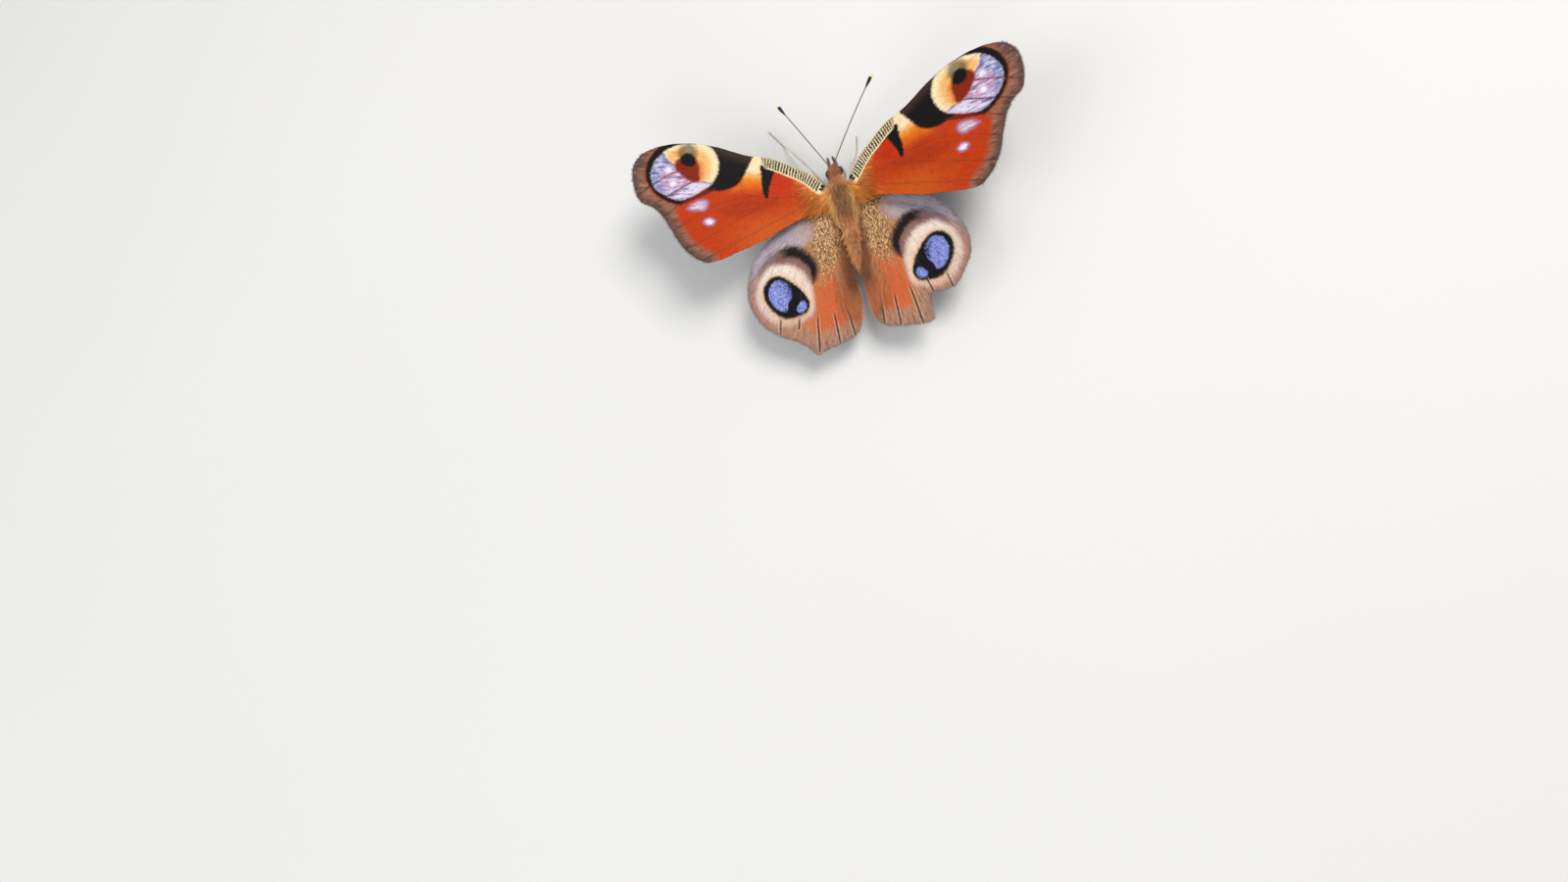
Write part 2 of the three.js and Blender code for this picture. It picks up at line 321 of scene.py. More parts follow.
class ShaderTree:
    """A material's node tree, written as expressions."""

    def __init__(self, name: str) -> None:
        """Starts an empty material of that name.

        Args:
            name: The material's name.
        """
        self.material = bpy.data.materials.new(name)
        self.material.use_nodes = True
        self.nodes = self.material.node_tree.nodes
        self.links = self.material.node_tree.links
        self.nodes.clear()

    def node(self, kind: str, settings: dict[str, object], sockets: dict[str | int, object],
             out: str | int = 0) -> Wire | None:
        """Adds a node, sets it up and feeds its sockets.

        Args:
            kind: The node's type.
            settings: Its properties, with "points" for a curve.
            sockets: What each input gets, by name or number: a number, colour, vector or Wire.
            out: Which output is wanted, by name or number.

        Returns:
            The output, or None for a node without any.
        """
        node = self.nodes.new(kind)
        for key, value in settings.items():
            if key == "points":
                self._set_points(node.mapping, value)
            else:
                setattr(node, key, value)
        for key, value in sockets.items():
            if isinstance(value, Wire):
                self.links.new(value.socket, node.inputs[key])
            else:
                node.inputs[key].default_value = value
        return Wire(self, node.outputs[out]) if node.outputs else None

    @staticmethod
    def _set_points(mapping: bpy.types.CurveMapping, points: Sequence[Spot]) -> None:
        """Gives a curve its points, the first and last at 0 and 1.

        Args:
            mapping: The curve node's mapping.
            points: The points.
        """
        curve = mapping.curves[0]
        curve.points[0].location = points[0]
        curve.points[1].location = points[-1]
        for point in points[1:-1]:
            curve.points.new(*point)
        for point in curve.points:
            point.handle_type = "AUTO_CLAMPED"
        mapping.update()

    def math(self, operation: str, *values: Wire | float) -> Wire:
        """Applies a Math node's operation."""
        return self.node("ShaderNodeMath", {"operation": operation}, dict(enumerate(values)))

    def most(self, first: Wire, second: Wire) -> Wire:
        """Takes the greater of two values."""
        return self.math("MAXIMUM", first, second)

    def reach(self, x: Wire, y: Wire) -> Wire:
        """Measures the length of a flat vector."""
        return self.math("SQRT", x * x + y * y)

    def wave(self, along: Wire, period: float) -> Wire:
        """Swings between 0 and 1 once in every period."""
        return self.math("SINE", along * (TURN / period)) * 0.5 + 0.5

    def mix(self, share: Wire | float, under: Wire | Colour, over: Wire | Colour, blend: str = "MIX") -> Wire:
        """Lays one colour over another."""
        settings = {"data_type": "RGBA", "blend_type": blend}
        return self.node("ShaderNodeMix", settings, {0: share, 6: under, 7: over}, 2)

    def carried(self, name: str) -> tuple[Wire, ...]:
        """Reads a vector that the mesh carries, as three values.

        Args:
            name: The name of what is carried.

        Returns:
            The three values.
        """
        source = self.node("ShaderNodeAttribute", {"attribute_name": name}, {}, "Vector")
        parts = self.node("ShaderNodeSeparateXYZ", {}, {0: source}).socket.node
        return tuple(Wire(self, socket) for socket in parts.outputs)

    def grain(self) -> Wire:
        """Reads the number between -1 and 1 that each tuft has of its own."""
        return self.node("ShaderNodeAttribute", {"attribute_name": "grain"}, {}, "Fac")

    def vector(self, *parts: Wire | float) -> Wire:
        """Joins three values into a vector."""
        return self.node("ShaderNodeCombineXYZ", {}, dict(enumerate(parts)))

    def noise(self, where: Wire, scale: float, detail: float = 2.0, rough: float = 0.5) -> Wire:
        """Reads soft noise between about 0.2 and 0.8."""
        sockets = {"Vector": where, "Scale": scale, "Detail": detail, "Roughness": rough}
        return self.node("ShaderNodeTexNoise", {"noise_dimensions": "3D"}, sockets)

    def cells(self, where: Wire, scale: float) -> Wire:
        """Reads the distance to the middle of the nearest cell."""
        sockets = {"Vector": where, "Scale": scale}
        return self.node("ShaderNodeTexVoronoi", {"feature": "F1"}, sockets, "Distance")

    def mark(self, u: Wire, v: Wire, patch: Patch) -> Wire:
        """Draws a patch: 1 inside and 0 outside.

        Args:
            u: How far out on the wing.
            v: How far forward on the wing.
            patch: The patch.

        Returns:
            The mask.
        """
        curve, reach = patch.edge()
        du, dv = u - patch.middle[0], v - patch.middle[1]
        turn = self.math("ARCTAN2", dv, du) / TURN + 0.5
        edge = self.node("ShaderNodeFloatCurve", {"points": curve}, {"Value": turn})
        return (edge * reach - self.reach(du, dv)).rises(-patch.soft / 2, patch.soft / 2)

    def bump(self, height: Wire, strength: float, distance: float) -> Wire:
        """Turns a height into a normal."""
        return self.node("ShaderNodeBump", {}, {"Height": height, "Strength": strength, "Distance": distance})

    def finish(self, colour: Wire | Colour, roughness: Wire | float, normal: Wire | None = None,
               **constants: float) -> Material:
        """Closes the tree with one surface shader.

        Args:
            colour: The base colour.
            roughness: The roughness.
            normal: The bumped normal, if any.
            **constants: Even values for other sockets, with _ for a space in the name.

        Returns:
            The material.
        """
        sockets: dict[str | int, object] = {"Base Color": colour, "Roughness": roughness}
        if normal is not None:
            sockets["Normal"] = normal
        sockets.update({key.replace("_", " "): value for key, value in constants.items()})
        surface = self.node("ShaderNodeBsdfPrincipled", {}, sockets)
        self.node("ShaderNodeOutputMaterial", {}, {"Surface": surface})
        return self.material


class Template(Enum):
    """The small shapes that a coat is made of."""

    SCALE = "scale"
    HAIR = "hair"
    LENS = "lens"

    def build(self) -> Piece:
        """Makes the shape, one unit long toward +Y, as an object that isn't in the scene.

        Returns:
            The object.
        """
        makers = {Template.SCALE: self._scale, Template.HAIR: self._hair, Template.LENS: self._lens}
        points, faces, flat = makers[self]()
        mesh = bpy.data.meshes.new(self.value)
        mesh.from_pydata(points, [], faces)
        strand = float(self is Template.HAIR)
        carry(mesh, {"tuft": np.array([(x, y, strand) for x, y in flat])})
        mesh.update()
        return bpy.data.objects.new(self.value, mesh)

    @staticmethod
    def _scale() -> tuple[list[Place], list[tuple[int, ...]], list[Spot]]:
        """Gives a blunt scale with a low ridge: points, faces and where each point is on it.

        Returns:
            The points, the faces and the places.
        """
        points = [(0, 0, 0), (-0.48, 0.6, 0), (-0.28, 1.0, 0), (0.28, 1.0, 0), (0.48, 0.6, 0), (0, 0.6, 0.5)]
        faces = [((i + 1) % 5, i, 5) for i in range(5)] + [(0, 1, 2, 3, 4)]
        return points, faces, [(x, y - 0.5) for x, y, _ in points]

    @staticmethod
    def _hair() -> tuple[list[Place], list[tuple[int, ...]], list[Spot]]:
        """Gives a three-sided hair that lifts and thins toward its tip.

        Returns:
            The points, the faces and the places.
        """
        rings = ((0.0, 0.0, 0.5), (0.35, 2.2, 0.46), (0.72, 2.6, 0.32))
        corners = ((-1.0, -0.5), (1.0, -0.5), (0.0, 1.0))
        points = [(w * x, y, lift + w * z) for y, lift, w in rings for x, z in corners] + [(0.0, 1.0, 1.4)]
        faces = [(0, 1, 2)]
        for s in range(3):
            n = (s + 1) % 3
            faces += [(3 * r + s, 3 * r + 3 + s, 3 * r + 3 + n, 3 * r + n) for r in range(2)]
            faces.append((6 + s, 9, 6 + n))
        return points, faces, [(0.4 * x, y - 0.5) for y, _, _ in rings for x, _ in corners] + [(0.0, 0.5)]

    @staticmethod
    def _lens() -> tuple[list[Place], list[tuple[int, ...]], list[Spot]]:
        """Gives one low six-sided lens of an eye.

        Returns:
            The points, the faces and the places.
        """
        turns = [TURN * k / 6 for k in range(6)]
        points = [(0.5 * math.cos(t), 0.5 * math.sin(t), 0.0) for t in turns] + [(0.0, 0.0, 0.3)]
        points += [(0.32 * math.cos(t), 0.32 * math.sin(t), 0.2) for t in turns]
        faces = [(5, 4, 3, 2, 1, 0)]
        for s in range(6):
            n = (s + 1) % 6
            faces += [(s, n, 7 + n, 7 + s), (7 + s, 7 + n, 6)]
        return points, faces, [(x, y) for x, y, _ in points]


@dataclass
class Seats:
    """Where the tufts of a coat are rooted and how they lie."""

    points: Array
    lay: Array
    up: Array
    size: Array
    place: Array
    bake: Array
    rim: Array | None = None

    def joined(self, other: "Seats") -> "Seats":
        """Adds other seats to these.

        Args:
            other: The other seats.

        Returns:
            All the seats.
        """
        keys = ("points", "lay", "up", "size", "place", "bake", "rim")
        pairs = ((getattr(self, key), getattr(other, key)) for key in keys)
        return Seats(*(None if mine is None else np.concatenate([mine, theirs]) for mine, theirs in pairs))


class CoatTree:
    """The node tree that sets a tuft on every seat and makes one mesh of them."""

    INPUTS = (("Seats", "Geometry"), ("Tuft", "Object"), ("Finish", "Material"), ("Lift", "Float"),
              ("Stray", "Float"), ("Patch", "Float"), ("Seed", "Int"))
    SPARE = ("lay", "up", "size", "bake")

    def __init__(self) -> None:
        """Builds the tree."""
        self.tree = bpy.data.node_groups.new("coat", "GeometryNodeTree")
        face = self.tree.interface
        for name, kind in self.INPUTS:
            face.new_socket(name, in_out="INPUT", socket_type="NodeSocket" + kind)
        face.new_socket("Coat", in_out="OUTPUT", socket_type="NodeSocketGeometry")
        self._wire(self.tree.nodes.new("NodeGroupInput").outputs)

    def _node(self, kind: str, settings: dict[str, object], sockets: dict[str | int, object],
              out: int | str = 0) -> Socket | None:
        """Adds a node with its settings and its sockets' values or links, and gives one output.

        Args:
            kind: The node's type.
            settings: Its properties.
            sockets: What each input gets, by name or number.
            out: Which output is wanted.

        Returns:
            The output, if any.
        """
        node = self.tree.nodes.new(kind)
        for key, value in settings.items():
            setattr(node, key, value)
        for key, value in sockets.items():
            if isinstance(value, Socket):
                self.tree.links.new(value, node.inputs[key])
            else:
                node.inputs[key].default_value = value
        return node.outputs[out] if node.outputs else None

    def _math(self, operation: str, *values: Socket | float) -> Socket:
        """Works on numbers."""
        return self._node("ShaderNodeMath", {"operation": operation}, dict(enumerate(values)))

    def _named(self, name: str) -> Socket:
        """Reads a vector that the seats carry."""
        settings = {"data_type": "FLOAT_VECTOR"}
        return self._node("GeometryNodeInputNamedAttribute", settings, {"Name": name}, "Attribute")

    def _stored(self, geometry: Socket, name: str, kind: str, domain: str, value: Socket) -> Socket:
        """Stores a value on a geometry by name."""
        return self._node("GeometryNodeStoreNamedAttribute", {"data_type": kind, "domain": domain},
                          {"Geometry": geometry, "Name": name, "Value": value})

    def _wire(self, given: bpy.types.bpy_prop_collection) -> None:
        """Links seats, tufts, lie and bake patches together.

        Args:
            given: The group's inputs.
        """
        def drawn(low: Socket | float, high: Socket | float, which: float) -> Socket:
            """Draws a number for each seat."""
            sockets = {2: low, 3: high, "Seed": self._math("ADD", given["Seed"], which)}
            return self._node("FunctionNodeRandomValue", {"data_type": "FLOAT"}, sockets, 1)

        def scaled(name: str, share: Socket) -> Socket:
            """Scales a vector that the seats or tufts carry."""
            sockets = {0: self._named(name), "Scale": share}
            return self._node("ShaderNodeVectorMath", {"operation": "SCALE"}, sockets)
        tuft = self._node("GeometryNodeObjectInfo", {"transform_space": "ORIGINAL"},
                          {"Object": given["Tuft"]}, "Geometry")
        along = self._node("FunctionNodeAlignRotationToVector", {"axis": "Y"}, {"Vector": self._named("lay")})
        lying = self._node("FunctionNodeAlignRotationToVector", {"axis": "Z", "pivot_axis": "Y"},
                           {"Rotation": along, "Vector": self._named("up")})
        stray, less = given["Stray"], self._math("MULTIPLY", given["Stray"], -1.0)
        raised = self._math("MULTIPLY_ADD", drawn(less, stray, 1.0), 0.5, given["Lift"])
        yaw, roll = drawn(less, stray, 2.0), drawn(-0.2, 0.2, 3.0)
        turn = self._node("ShaderNodeCombineXYZ", {}, {0: raised, 1: roll, 2: yaw})
        turned = self._node("FunctionNodeRotateRotation", {"rotation_space": "LOCAL"},
                            {"Rotation": lying, "Rotate By": turn})
        size = scaled("size", drawn(0.75, 1.2, 4.0))
        marked = self._stored(given["Seats"], "grain", "FLOAT", "POINT", drawn(-1.0, 1.0, 5.0))
        coat = self._node("GeometryNodeInstanceOnPoints", {},
                          {"Points": marked, "Instance": tuft, "Rotation": turned, "Scale": size})
        real = self._node("GeometryNodeRealizeInstances", {}, {0: coat})
        spot = self._node("ShaderNodeVectorMath", {"operation": "ADD"},
                          {0: self._named("bake"), 1: scaled("tuft", given["Patch"])})
        mapped = self._stored(real, BAKE_MAP, "FLOAT2", "CORNER", spot)
        dressed = self._node("GeometryNodeSetMaterial", {}, {"Geometry": mapped, "Material": given["Finish"]})
        self._node("NodeGroupOutput", {}, {0: dressed})

    def grow(self, name: str, seats: Seats, kind: Template, material: Material, seed: int,
             lift: float = 0.0, stray: float = 0.0) -> Piece:
        """Grows a coat and keeps it as a plain mesh.

        Args:
            name: The piece's name.
            seats: Where the tufts are rooted.
            kind: What each tuft looks like.
            material: The coat's finish.
            seed: The fixed seed of its small differences.
            lift: How far the tufts tilt up from the skin, in radians.
            stray: How far their lie wanders, in radians.

        Returns:
            The coat, flat-shaded where it is made of scales.
        """
        mesh = bpy.data.meshes.new(name)
        mesh.from_pydata(((seats.points + ORIGIN) * MM).tolist(), [], [])
        bake = np.column_stack([seats.bake, np.zeros(len(seats.bake))])
        carry(mesh, {"lay": seats.lay, "up": seats.up, "size": seats.size * MM, "place": seats.place,
                     "bake": bake})
        if seats.rim is not None:
            carry(mesh, {"rim": seats.rim})
        bed = in_scene(name, mesh)
        tuft = kind.build()
        modifier = bed.modifiers.new("coat", "NODES")
        modifier.node_group = self.tree
        values = {"Tuft": tuft, "Finish": material, "Lift": lift, "Stray": stray, "Patch": TUFT_PATCH,
                  "Seed": seed}
        for item in self.tree.interface.items_tree:
            if item.name in values:
                modifier[item.identifier] = values[item.name]
        graph = bpy.context.evaluated_depsgraph_get()
        grown = bpy.data.meshes.new_from_object(bed.evaluated_get(graph))
        bed.modifiers.clear()
        bed.data = grown
        grown.name = name
        bpy.data.meshes.remove(mesh)
        for spare in self.SPARE:
            if spare in grown.attributes:
                grown.attributes.remove(grown.attributes[spare])
        if grown.materials and grown.materials[0] is None:
            grown.materials.clear()
            grown.materials.append(material)
        grown.polygons.foreach_set("use_smooth", [kind is not Template.SCALE] * len(grown.polygons))
        grown.update()
        bpy.data.objects.remove(tuft)
        return bed


@dataclass(frozen=True)
class Growth:
    """How a coat grows on a skin: its lie, how far that wanders, and its tufts' sizes in millimetres."""

    way: Callable[[Array], Array]
    wander: float
    length: Spot
    width: float
    thick: float
    more: Callable[[Array], Array] | None = None
    sink: float = 0.02
    crowd: Callable[[Array], Array] = lambda points: np.ones(len(points))


def tuft_sizes(rng: np.random.Generator, count: int, length: Spot, width: float, thick: float) -> Array:
    """Draws lengths between two bounds and gives each tuft its width, length and thickness."""
    return np.column_stack([np.full(count, width), rng.uniform(*length, count), np.full(count, thick)])


@dataclass
class GridSkin:
    """A closed skin made of rings, whose own grid is its unwrap."""

    rings: Array
    place: Array

    @staticmethod
    def along(path: Array, widths: Array, heights: Array, sides: int,
              place: Array | None = None) -> "GridSkin":
        """Carries an oval section along a path.

        Args:
            path: The middle line in millimetres.
            widths: Half the section's width at each point.
            heights: Half its height at each point.
            sides: How many sides it has.
            place: What each point of the path carries, or None for each ring point's own position.

        Returns:
            The skin.
        """
        ahead = unit(np.gradient(path, axis=0))
        side = np.zeros_like(ahead)
        first = np.cross([0.0, 0.0, 1.0], ahead[0])
        side[0] = unit(first if np.linalg.norm(first) > 0.05 else np.cross([0.0, 1.0, 0.0], ahead[0]))
        for i in range(1, len(path)):
            side[i] = unit(side[i - 1] - ahead[i] * (side[i - 1] @ ahead[i]))
        rise = np.cross(ahead, side)
        turn = (np.arange(sides) * TURN / sides)[None, :, None]
        rings = (path[:, None, :] + side[:, None, :] * np.cos(turn) * np.asarray(widths)[:, None, None]
                 + rise[:, None, :] * np.sin(turn) * np.asarray(heights)[:, None, None])
        return GridSkin(rings, rings if place is None else np.repeat(place[:, None, :], sides, axis=1))

    @staticmethod
    def faces(count: int, sides: int) -> list[tuple[int, ...]]:
        """Joins rings of equally many points by quads."""
        pairs = ((r * sides + s, r * sides + (s + 1) % sides) for r in range(count - 1) for s in range(sides))
        return [(a, b, b + sides, a + sides) for a, b in pairs]

    def shape(self) -> Shape:
        """Closes the rings at both ends.

        Returns:
            The shape.
        """
        count, sides, _ = self.rings.shape
        ends = [tuple(reversed(range(sides))), tuple((count - 1) * sides + s for s in range(sides))]
        return Shape(self.rings.reshape(-1, 3), self.faces(count, sides) + ends, self.place.reshape(-1, 3))

    def seats(self, rng: np.random.Generator, count: int, growth: Growth) -> Seats:
        """Scatters seats over the skin.

        Args:
            rng: Where the chances come from.
            count: How many seats are wanted.
            growth: Where they are crowded, how their tufts lie and how big these are.

        Returns:
            The seats.
        """
        count_rings, sides, _ = self.rings.shape
        r, s = np.divmod(np.arange((count_rings - 1) * sides), sides)
        n = (s + 1) % sides
        a, b, c, d = self.rings[r, s], self.rings[r, n], self.rings[r + 1, n], self.rings[r + 1, s]
        normal = np.cross(c - a, d - b)
        area = np.linalg.norm(normal, axis=1) / 2
        chance = area * np.clip(growth.crowd((a + c) / 2), 0.0, None)
        pick = rng.choice(len(area), count, p=chance / chance.sum())
        across, on = rng.random((2, count, 1))

        def blended(grid: Array) -> Array:
            """Reads a ring grid at the picked places.

            Args:
                grid: What each ring point carries.

            Returns:
                What it carries at the picked places.
            """
            low, high = (grid[ring, s[pick]] * (1 - across) + grid[ring, n[pick]] * across
                         for ring in (r[pick], r[pick] + 1))
            return low * (1 - on) + high * on
        points, place = blended(self.rings), blended(self.place)
        up = unit(normal[pick])
        way = growth.way(points) + rng.normal(0.0, growth.wander, points.shape)
        way = unit(way - up * np.sum(way * up, axis=1, keepdims=True))
        size = tuft_sizes(rng, count, growth.length, growth.width, growth.thick)
        if growth.more is not None:
            size[:, 1] += growth.more(points)
        bake = np.column_stack([(s[pick] + across[:, 0]) / sides, (r[pick] + on[:, 0]) / (count_rings - 1)])
        return Seats(points - up * growth.sink, way, up, size, place, 0.01 + 0.98 * bake)


@dataclass(frozen=True)
class WingPose:
    """How a wing is held at its hinge, in millimetres and degrees."""

    hinge: Place
    sweep: float
    rise: float
    twist: float
    side: int

    def placed(self, local: Array) -> Array:
        """Moves points from the wing's plan to the body.

        Args:
            local: Points of the plan with their heights.

        Returns:
            The points on the body.
        """
        turns = ((self.sweep, "Z"), (-self.rise, "Y"), (self.twist, "X"))
        sweep, rise, twist = (Matrix.Rotation(math.radians(angle), 3, axis) for angle, axis in turns)
        mirror = np.array([self.side, 1.0, 1.0])
        return local @ np.array(sweep @ rise @ twist).T * mirror + np.array(self.hinge) * mirror


@dataclass
class Wing:
    """A wing: a thin skin with raised veins, a coat of scales on both faces, and a fringe."""

    name: str
    pose: WingPose
    outline: Sequence[Spot]
    veins: Sequence[Sequence[Spot]]
    hub: Spot
    arch: float
    arch_span: float
    fan_from: Spot
    outer: tuple[int, int]
    leading: tuple[int, int]
    fold_from: float | None = None
    fold_depth: float = 0.16
    skin_thickness: float = 0.07
    corrugation: float = 0.13
    vein_girth: Spot = (0.11, 0.045)
    vein_sides: int = 6
    margin_steps: int = 220
    skin_rings: int = 46
    scale_pitch: float = 0.165
    bake_span: float = 34.0

    def __post_init__(self) -> None:
        """Works out the outline and the vein lines once."""
        self.margin = flowing(self.outline, self.margin_steps, closed=True)
        corners = np.asarray(self.outline, float)
        self.termen, self.costa = (flowing(corners[first:last + 1], count) for (first, last), count
                                   in ((self.outer, 90), (self.leading, 120)))
        self.vein_lines = [flowing(line, max(8, len(line) * 7)) for line in self.veins]

    @staticmethod
    def _near(points: Array, *lines: Array) -> tuple[Array, Array]:
        """Finds how far the nearest of some lines is, and how many steps along it that is.

        Args:
            points: The points.
            *lines: The lines.

        Returns:
            The distances, and the steps along.
        """
        best = np.full(len(points), FAR_OFF)
        which = np.zeros(len(points))
        for line in lines:
            for k, (a, b) in enumerate(zip(line, line[1:])):
                step = b - a
                share = np.clip(((points - a) @ step) / max(step @ step, TINY), 0.0, 1.0)
                away = np.linalg.norm(points - a - share[:, None] * step, axis=1)
                closer = away < best
                best = np.where(closer, away, best)
                which = np.where(closer, k + share, which)
        return best, which

    def places(self, plan: Array) -> tuple[Array, Array]:
        """Works out what the finish reads at points on the plan.

        Args:
            plan: Points outward from the hinge and toward the head.

        Returns:
            The place with the distance to the outer edge, and the leading edge's distance,
            its length along and the distance to the nearest vein.
        """
        outer = self._near(plan, self.termen)[0]
        front, along = self._near(plan, self.costa)
        step = np.linalg.norm(np.diff(self.costa, axis=0), axis=1).mean()
        vein = self._near(plan, *self.vein_lines)[0]
        return np.column_stack([plan, outer]), np.column_stack([front, along * step, vein])

    def height(self, plan: Array, vein: Array) -> Array:
        """Gives the height of the skin's middle over the hinge plane.

        Args:
            plan: Points of the plan.
            vein: How far away the nearest vein is.

        Returns:
            The heights in millimetres.
        """
        out = plan[:, 0] if self.fold_from is None else np.hypot(plan[:, 0], plan[:, 1])
        rise = self.arch * np.sin(np.pi * np.minimum(out, self.arch_span) / self.arch_span)
        if self.fold_from is not None:
            rise = rise - self.fold_depth * np.maximum(self.fold_from - plan[:, 0], 0.0) ** 2
        return rise - self.corrugation * (1.0 - np.exp(-((vein / 0.9) ** 2))) + self.corrugation / 2

    def surface(self, plan: Array) -> Array:
        """Places points of the plan on the wing's middle."""
        vein = self._near(plan, *self.vein_lines)[0]
        return self.pose.placed(np.column_stack([plan, self.height(plan, vein)]))

    def inside(self, plan: Array) -> Array:
        """Tells which points of the plan lie within the margin.

        Args:
            plan: Points of the plan.

        Returns:
            Whether each point lies within.
        """
        x, y = plan[:, 0], plan[:, 1]
        inside = np.zeros(len(plan), bool)
        for corner, last in zip(self.margin, np.roll(self.margin, 1, axis=0)):
            crosses = (corner[1] > y) != (last[1] > y)
            slope = (last[0] - corner[0]) / (last[1] - corner[1] + TINY)
            inside ^= crosses & (x < corner[0] + slope * (y - corner[1]))
        return inside

    def skin(self) -> Shape:
        """Builds the closed skin, its upper faces in slot 0 and its lower ones in slot 1.

        Returns:
            The shape.
        """
        rings, sides = self.skin_rings, self.margin_steps
        shares = np.linspace(1.0 / rings, 1.0, rings) ** 0.9
        hub = np.array(self.hub)
        plan = (hub + shares[:, None, None] * (self.margin - hub)[None, :, :]).reshape(-1, 2)
        plan = np.concatenate([plan, [hub]])
        middle = len(plan) - 1
        place, rim = self.places(plan)
        half = np.full(len(plan), self.skin_thickness / 2)
        half[middle - sides:middle] *= 0.3
        rise = self.height(plan, rim[:, 2])
        above, below = (self.pose.placed(np.column_stack([plan, rise + way * half])) for way in (1, -1))
        top = GridSkin.faces(rings, sides) + [(s, (s + 1) % sides, middle) for s in range(sides)]
        low = [tuple(i + middle + 1 for i in reversed(face)) for face in top]
        last = (rings - 1) * sides
        edge = [(last + s, last + (s + 1) % sides) for s in range(sides)]
        wall = [(a, b, b + middle + 1, a + middle + 1) for a, b in edge]
        faces = top + low + wall
        ahead = np.roll(self.margin, -1, axis=0)
        area = np.sum(self.margin[:, 0] * ahead[:, 1] - ahead[:, 0] * self.margin[:, 1])
        if (area > 0) != (self.pose.side > 0):
            faces = [tuple(reversed(face)) for face in faces]
        slots = [0] * len(top) + [1] * (len(low) + len(wall))
        extra = {"rim": np.tile(rim, (2, 1))}
        return Shape(np.concatenate([above, below]), faces, np.tile(place, (2, 1)), extra, slots)

    def vein_tubes(self) -> Shape:
        """Builds the veins as tapered tubes that stand out on both faces.

        Returns:
            The shape.
        """
        tubes = []
        for line in self.vein_lines:
            place, rim = self.places(line)
            girth = np.linspace(*self.vein_girth, len(line))
            shape = GridSkin.along(self.surface(line), girth, girth, self.vein_sides, place).shape()
            shape.extra["rim"] = np.repeat(rim[:, None, :], self.vein_sides, axis=1).reshape(-1, 3)
            corners = shape.points[np.array(shape.faces[:-2])]
            facing = np.cross(corners[:, 2] - corners[:, 0], corners[:, 3] - corners[:, 1])[:, 2]
            shape.slots = [int(z < 0) for z in facing] + [0, 0]
            tubes.append(shape)
        return merged(tubes)

    def seats_at(self, plan: Array, size: Array, lift: float, under: bool = False,
                 lay: Array | None = None) -> Seats:
        """Works out seats for tufts at points of the plan.

        Args:
            plan: Where the tufts are rooted.
            size: Their width, length and thickness in millimetres.
            lift: How far the roots lie off the skin's middle.
            under: Whether they are on the lower face.
            lay: Which way they point on the plan, or None for away from the root of the wing.

        Returns:
            The seats.
        """
        if lay is None:
            lay = unit(plan - np.array(self.fan_from))
        step = 0.05
        here, ahead = self.surface(plan), self.surface(plan + lay * step)
        across = self.surface(plan + lay[:, ::-1] * np.array([-1.0, 1.0]) * step)
        along = unit(ahead - here)
        up = unit(np.cross(along, unit(across - here))) * self.pose.side
        if under:
            up = -up
        place, rim = self.places(plan)
        middle = (self.margin.min(0) + self.margin.max(0)) / 2
        bake = np.clip((plan - middle) / self.bake_span + 0.5, 0.005, 0.995)
        sizes = np.broadcast_to(size, (len(plan), 3)).copy()
        return Seats(here + up * lift, along, up, sizes, place, bake, rim)

    def scale_rows(self, seed: int, fineness: float = 1.0, inset: float = 0.012) -> Array:
        """Lays out the roots of the scales in staggered rows within the margin.

        Args:
            seed: The fixed seed of their small shifts.
            fineness: The pitch as a share of the wing's usual one.
            inset: How far the outermost ones keep from the margin, as a share of the wing.

        Returns:
            Their places on the plan.
        """
        rng = np.random.default_rng(seed)
        pitch = self.scale_pitch * fineness
        low, high = self.margin.min(0), self.margin.max(0)
        grid = np.stack(np.meshgrid(*(np.arange(low[k], high[k], pitch) for k in (0, 1))), axis=-1)
        grid[1::2, :, 0] += pitch / 2
        plan = grid.reshape(-1, 2)
        plan = plan + rng.normal(0.0, 0.14 * pitch, plan.shape)
        plan = plan[self.inside(plan)]
        hub = np.array(self.hub)
        return plan[self.inside(hub + (plan - hub) * (1.0 + inset))]

    def fringe_seats(self, seed: int, length: float, spacing: float = 0.048) -> Seats:
        """Lays out the short hairs that edge the outer margin.

        Args:
            seed: The fixed seed of their small differences.
            length: The longest hair in millimetres.
            spacing: How far apart they are rooted.

        Returns:
            The seats.
        """
        rng = np.random.default_rng(seed)
        line = evenly(self.termen, int(lengths_along(self.termen)[-1] / spacing))
        line = line + rng.normal(0.0, 0.03, line.shape)
        count = len(line)
        inward = unit(np.array(self.hub) - line)
        roots = line + inward * rng.uniform(0.05, 0.16, (count, 1))
        tangent = unit(np.gradient(line, axis=0))
        outward = np.column_stack([-tangent[:, 1], tangent[:, 0]])
        outward *= np.sign(np.sum(outward * -inward, axis=1))[:, None]
        lay = unit(outward + 0.5 * unit(roots - np.array(self.fan_from)) + rng.normal(0.0, 0.09, line.shape))
        ragged = np.convolve(rng.normal(0.0, 1.0, count), np.ones(5) / 5, "same") + 0.8
        size = tuft_sizes(rng, count, (0.6, 1.0), 0.055, 0.03)
        size[:, 1] *= (0.7 + 0.3 * np.clip(ragged, 0, 1)) * length
        return self.seats_at(roots, size, 0.0, lay=lay)


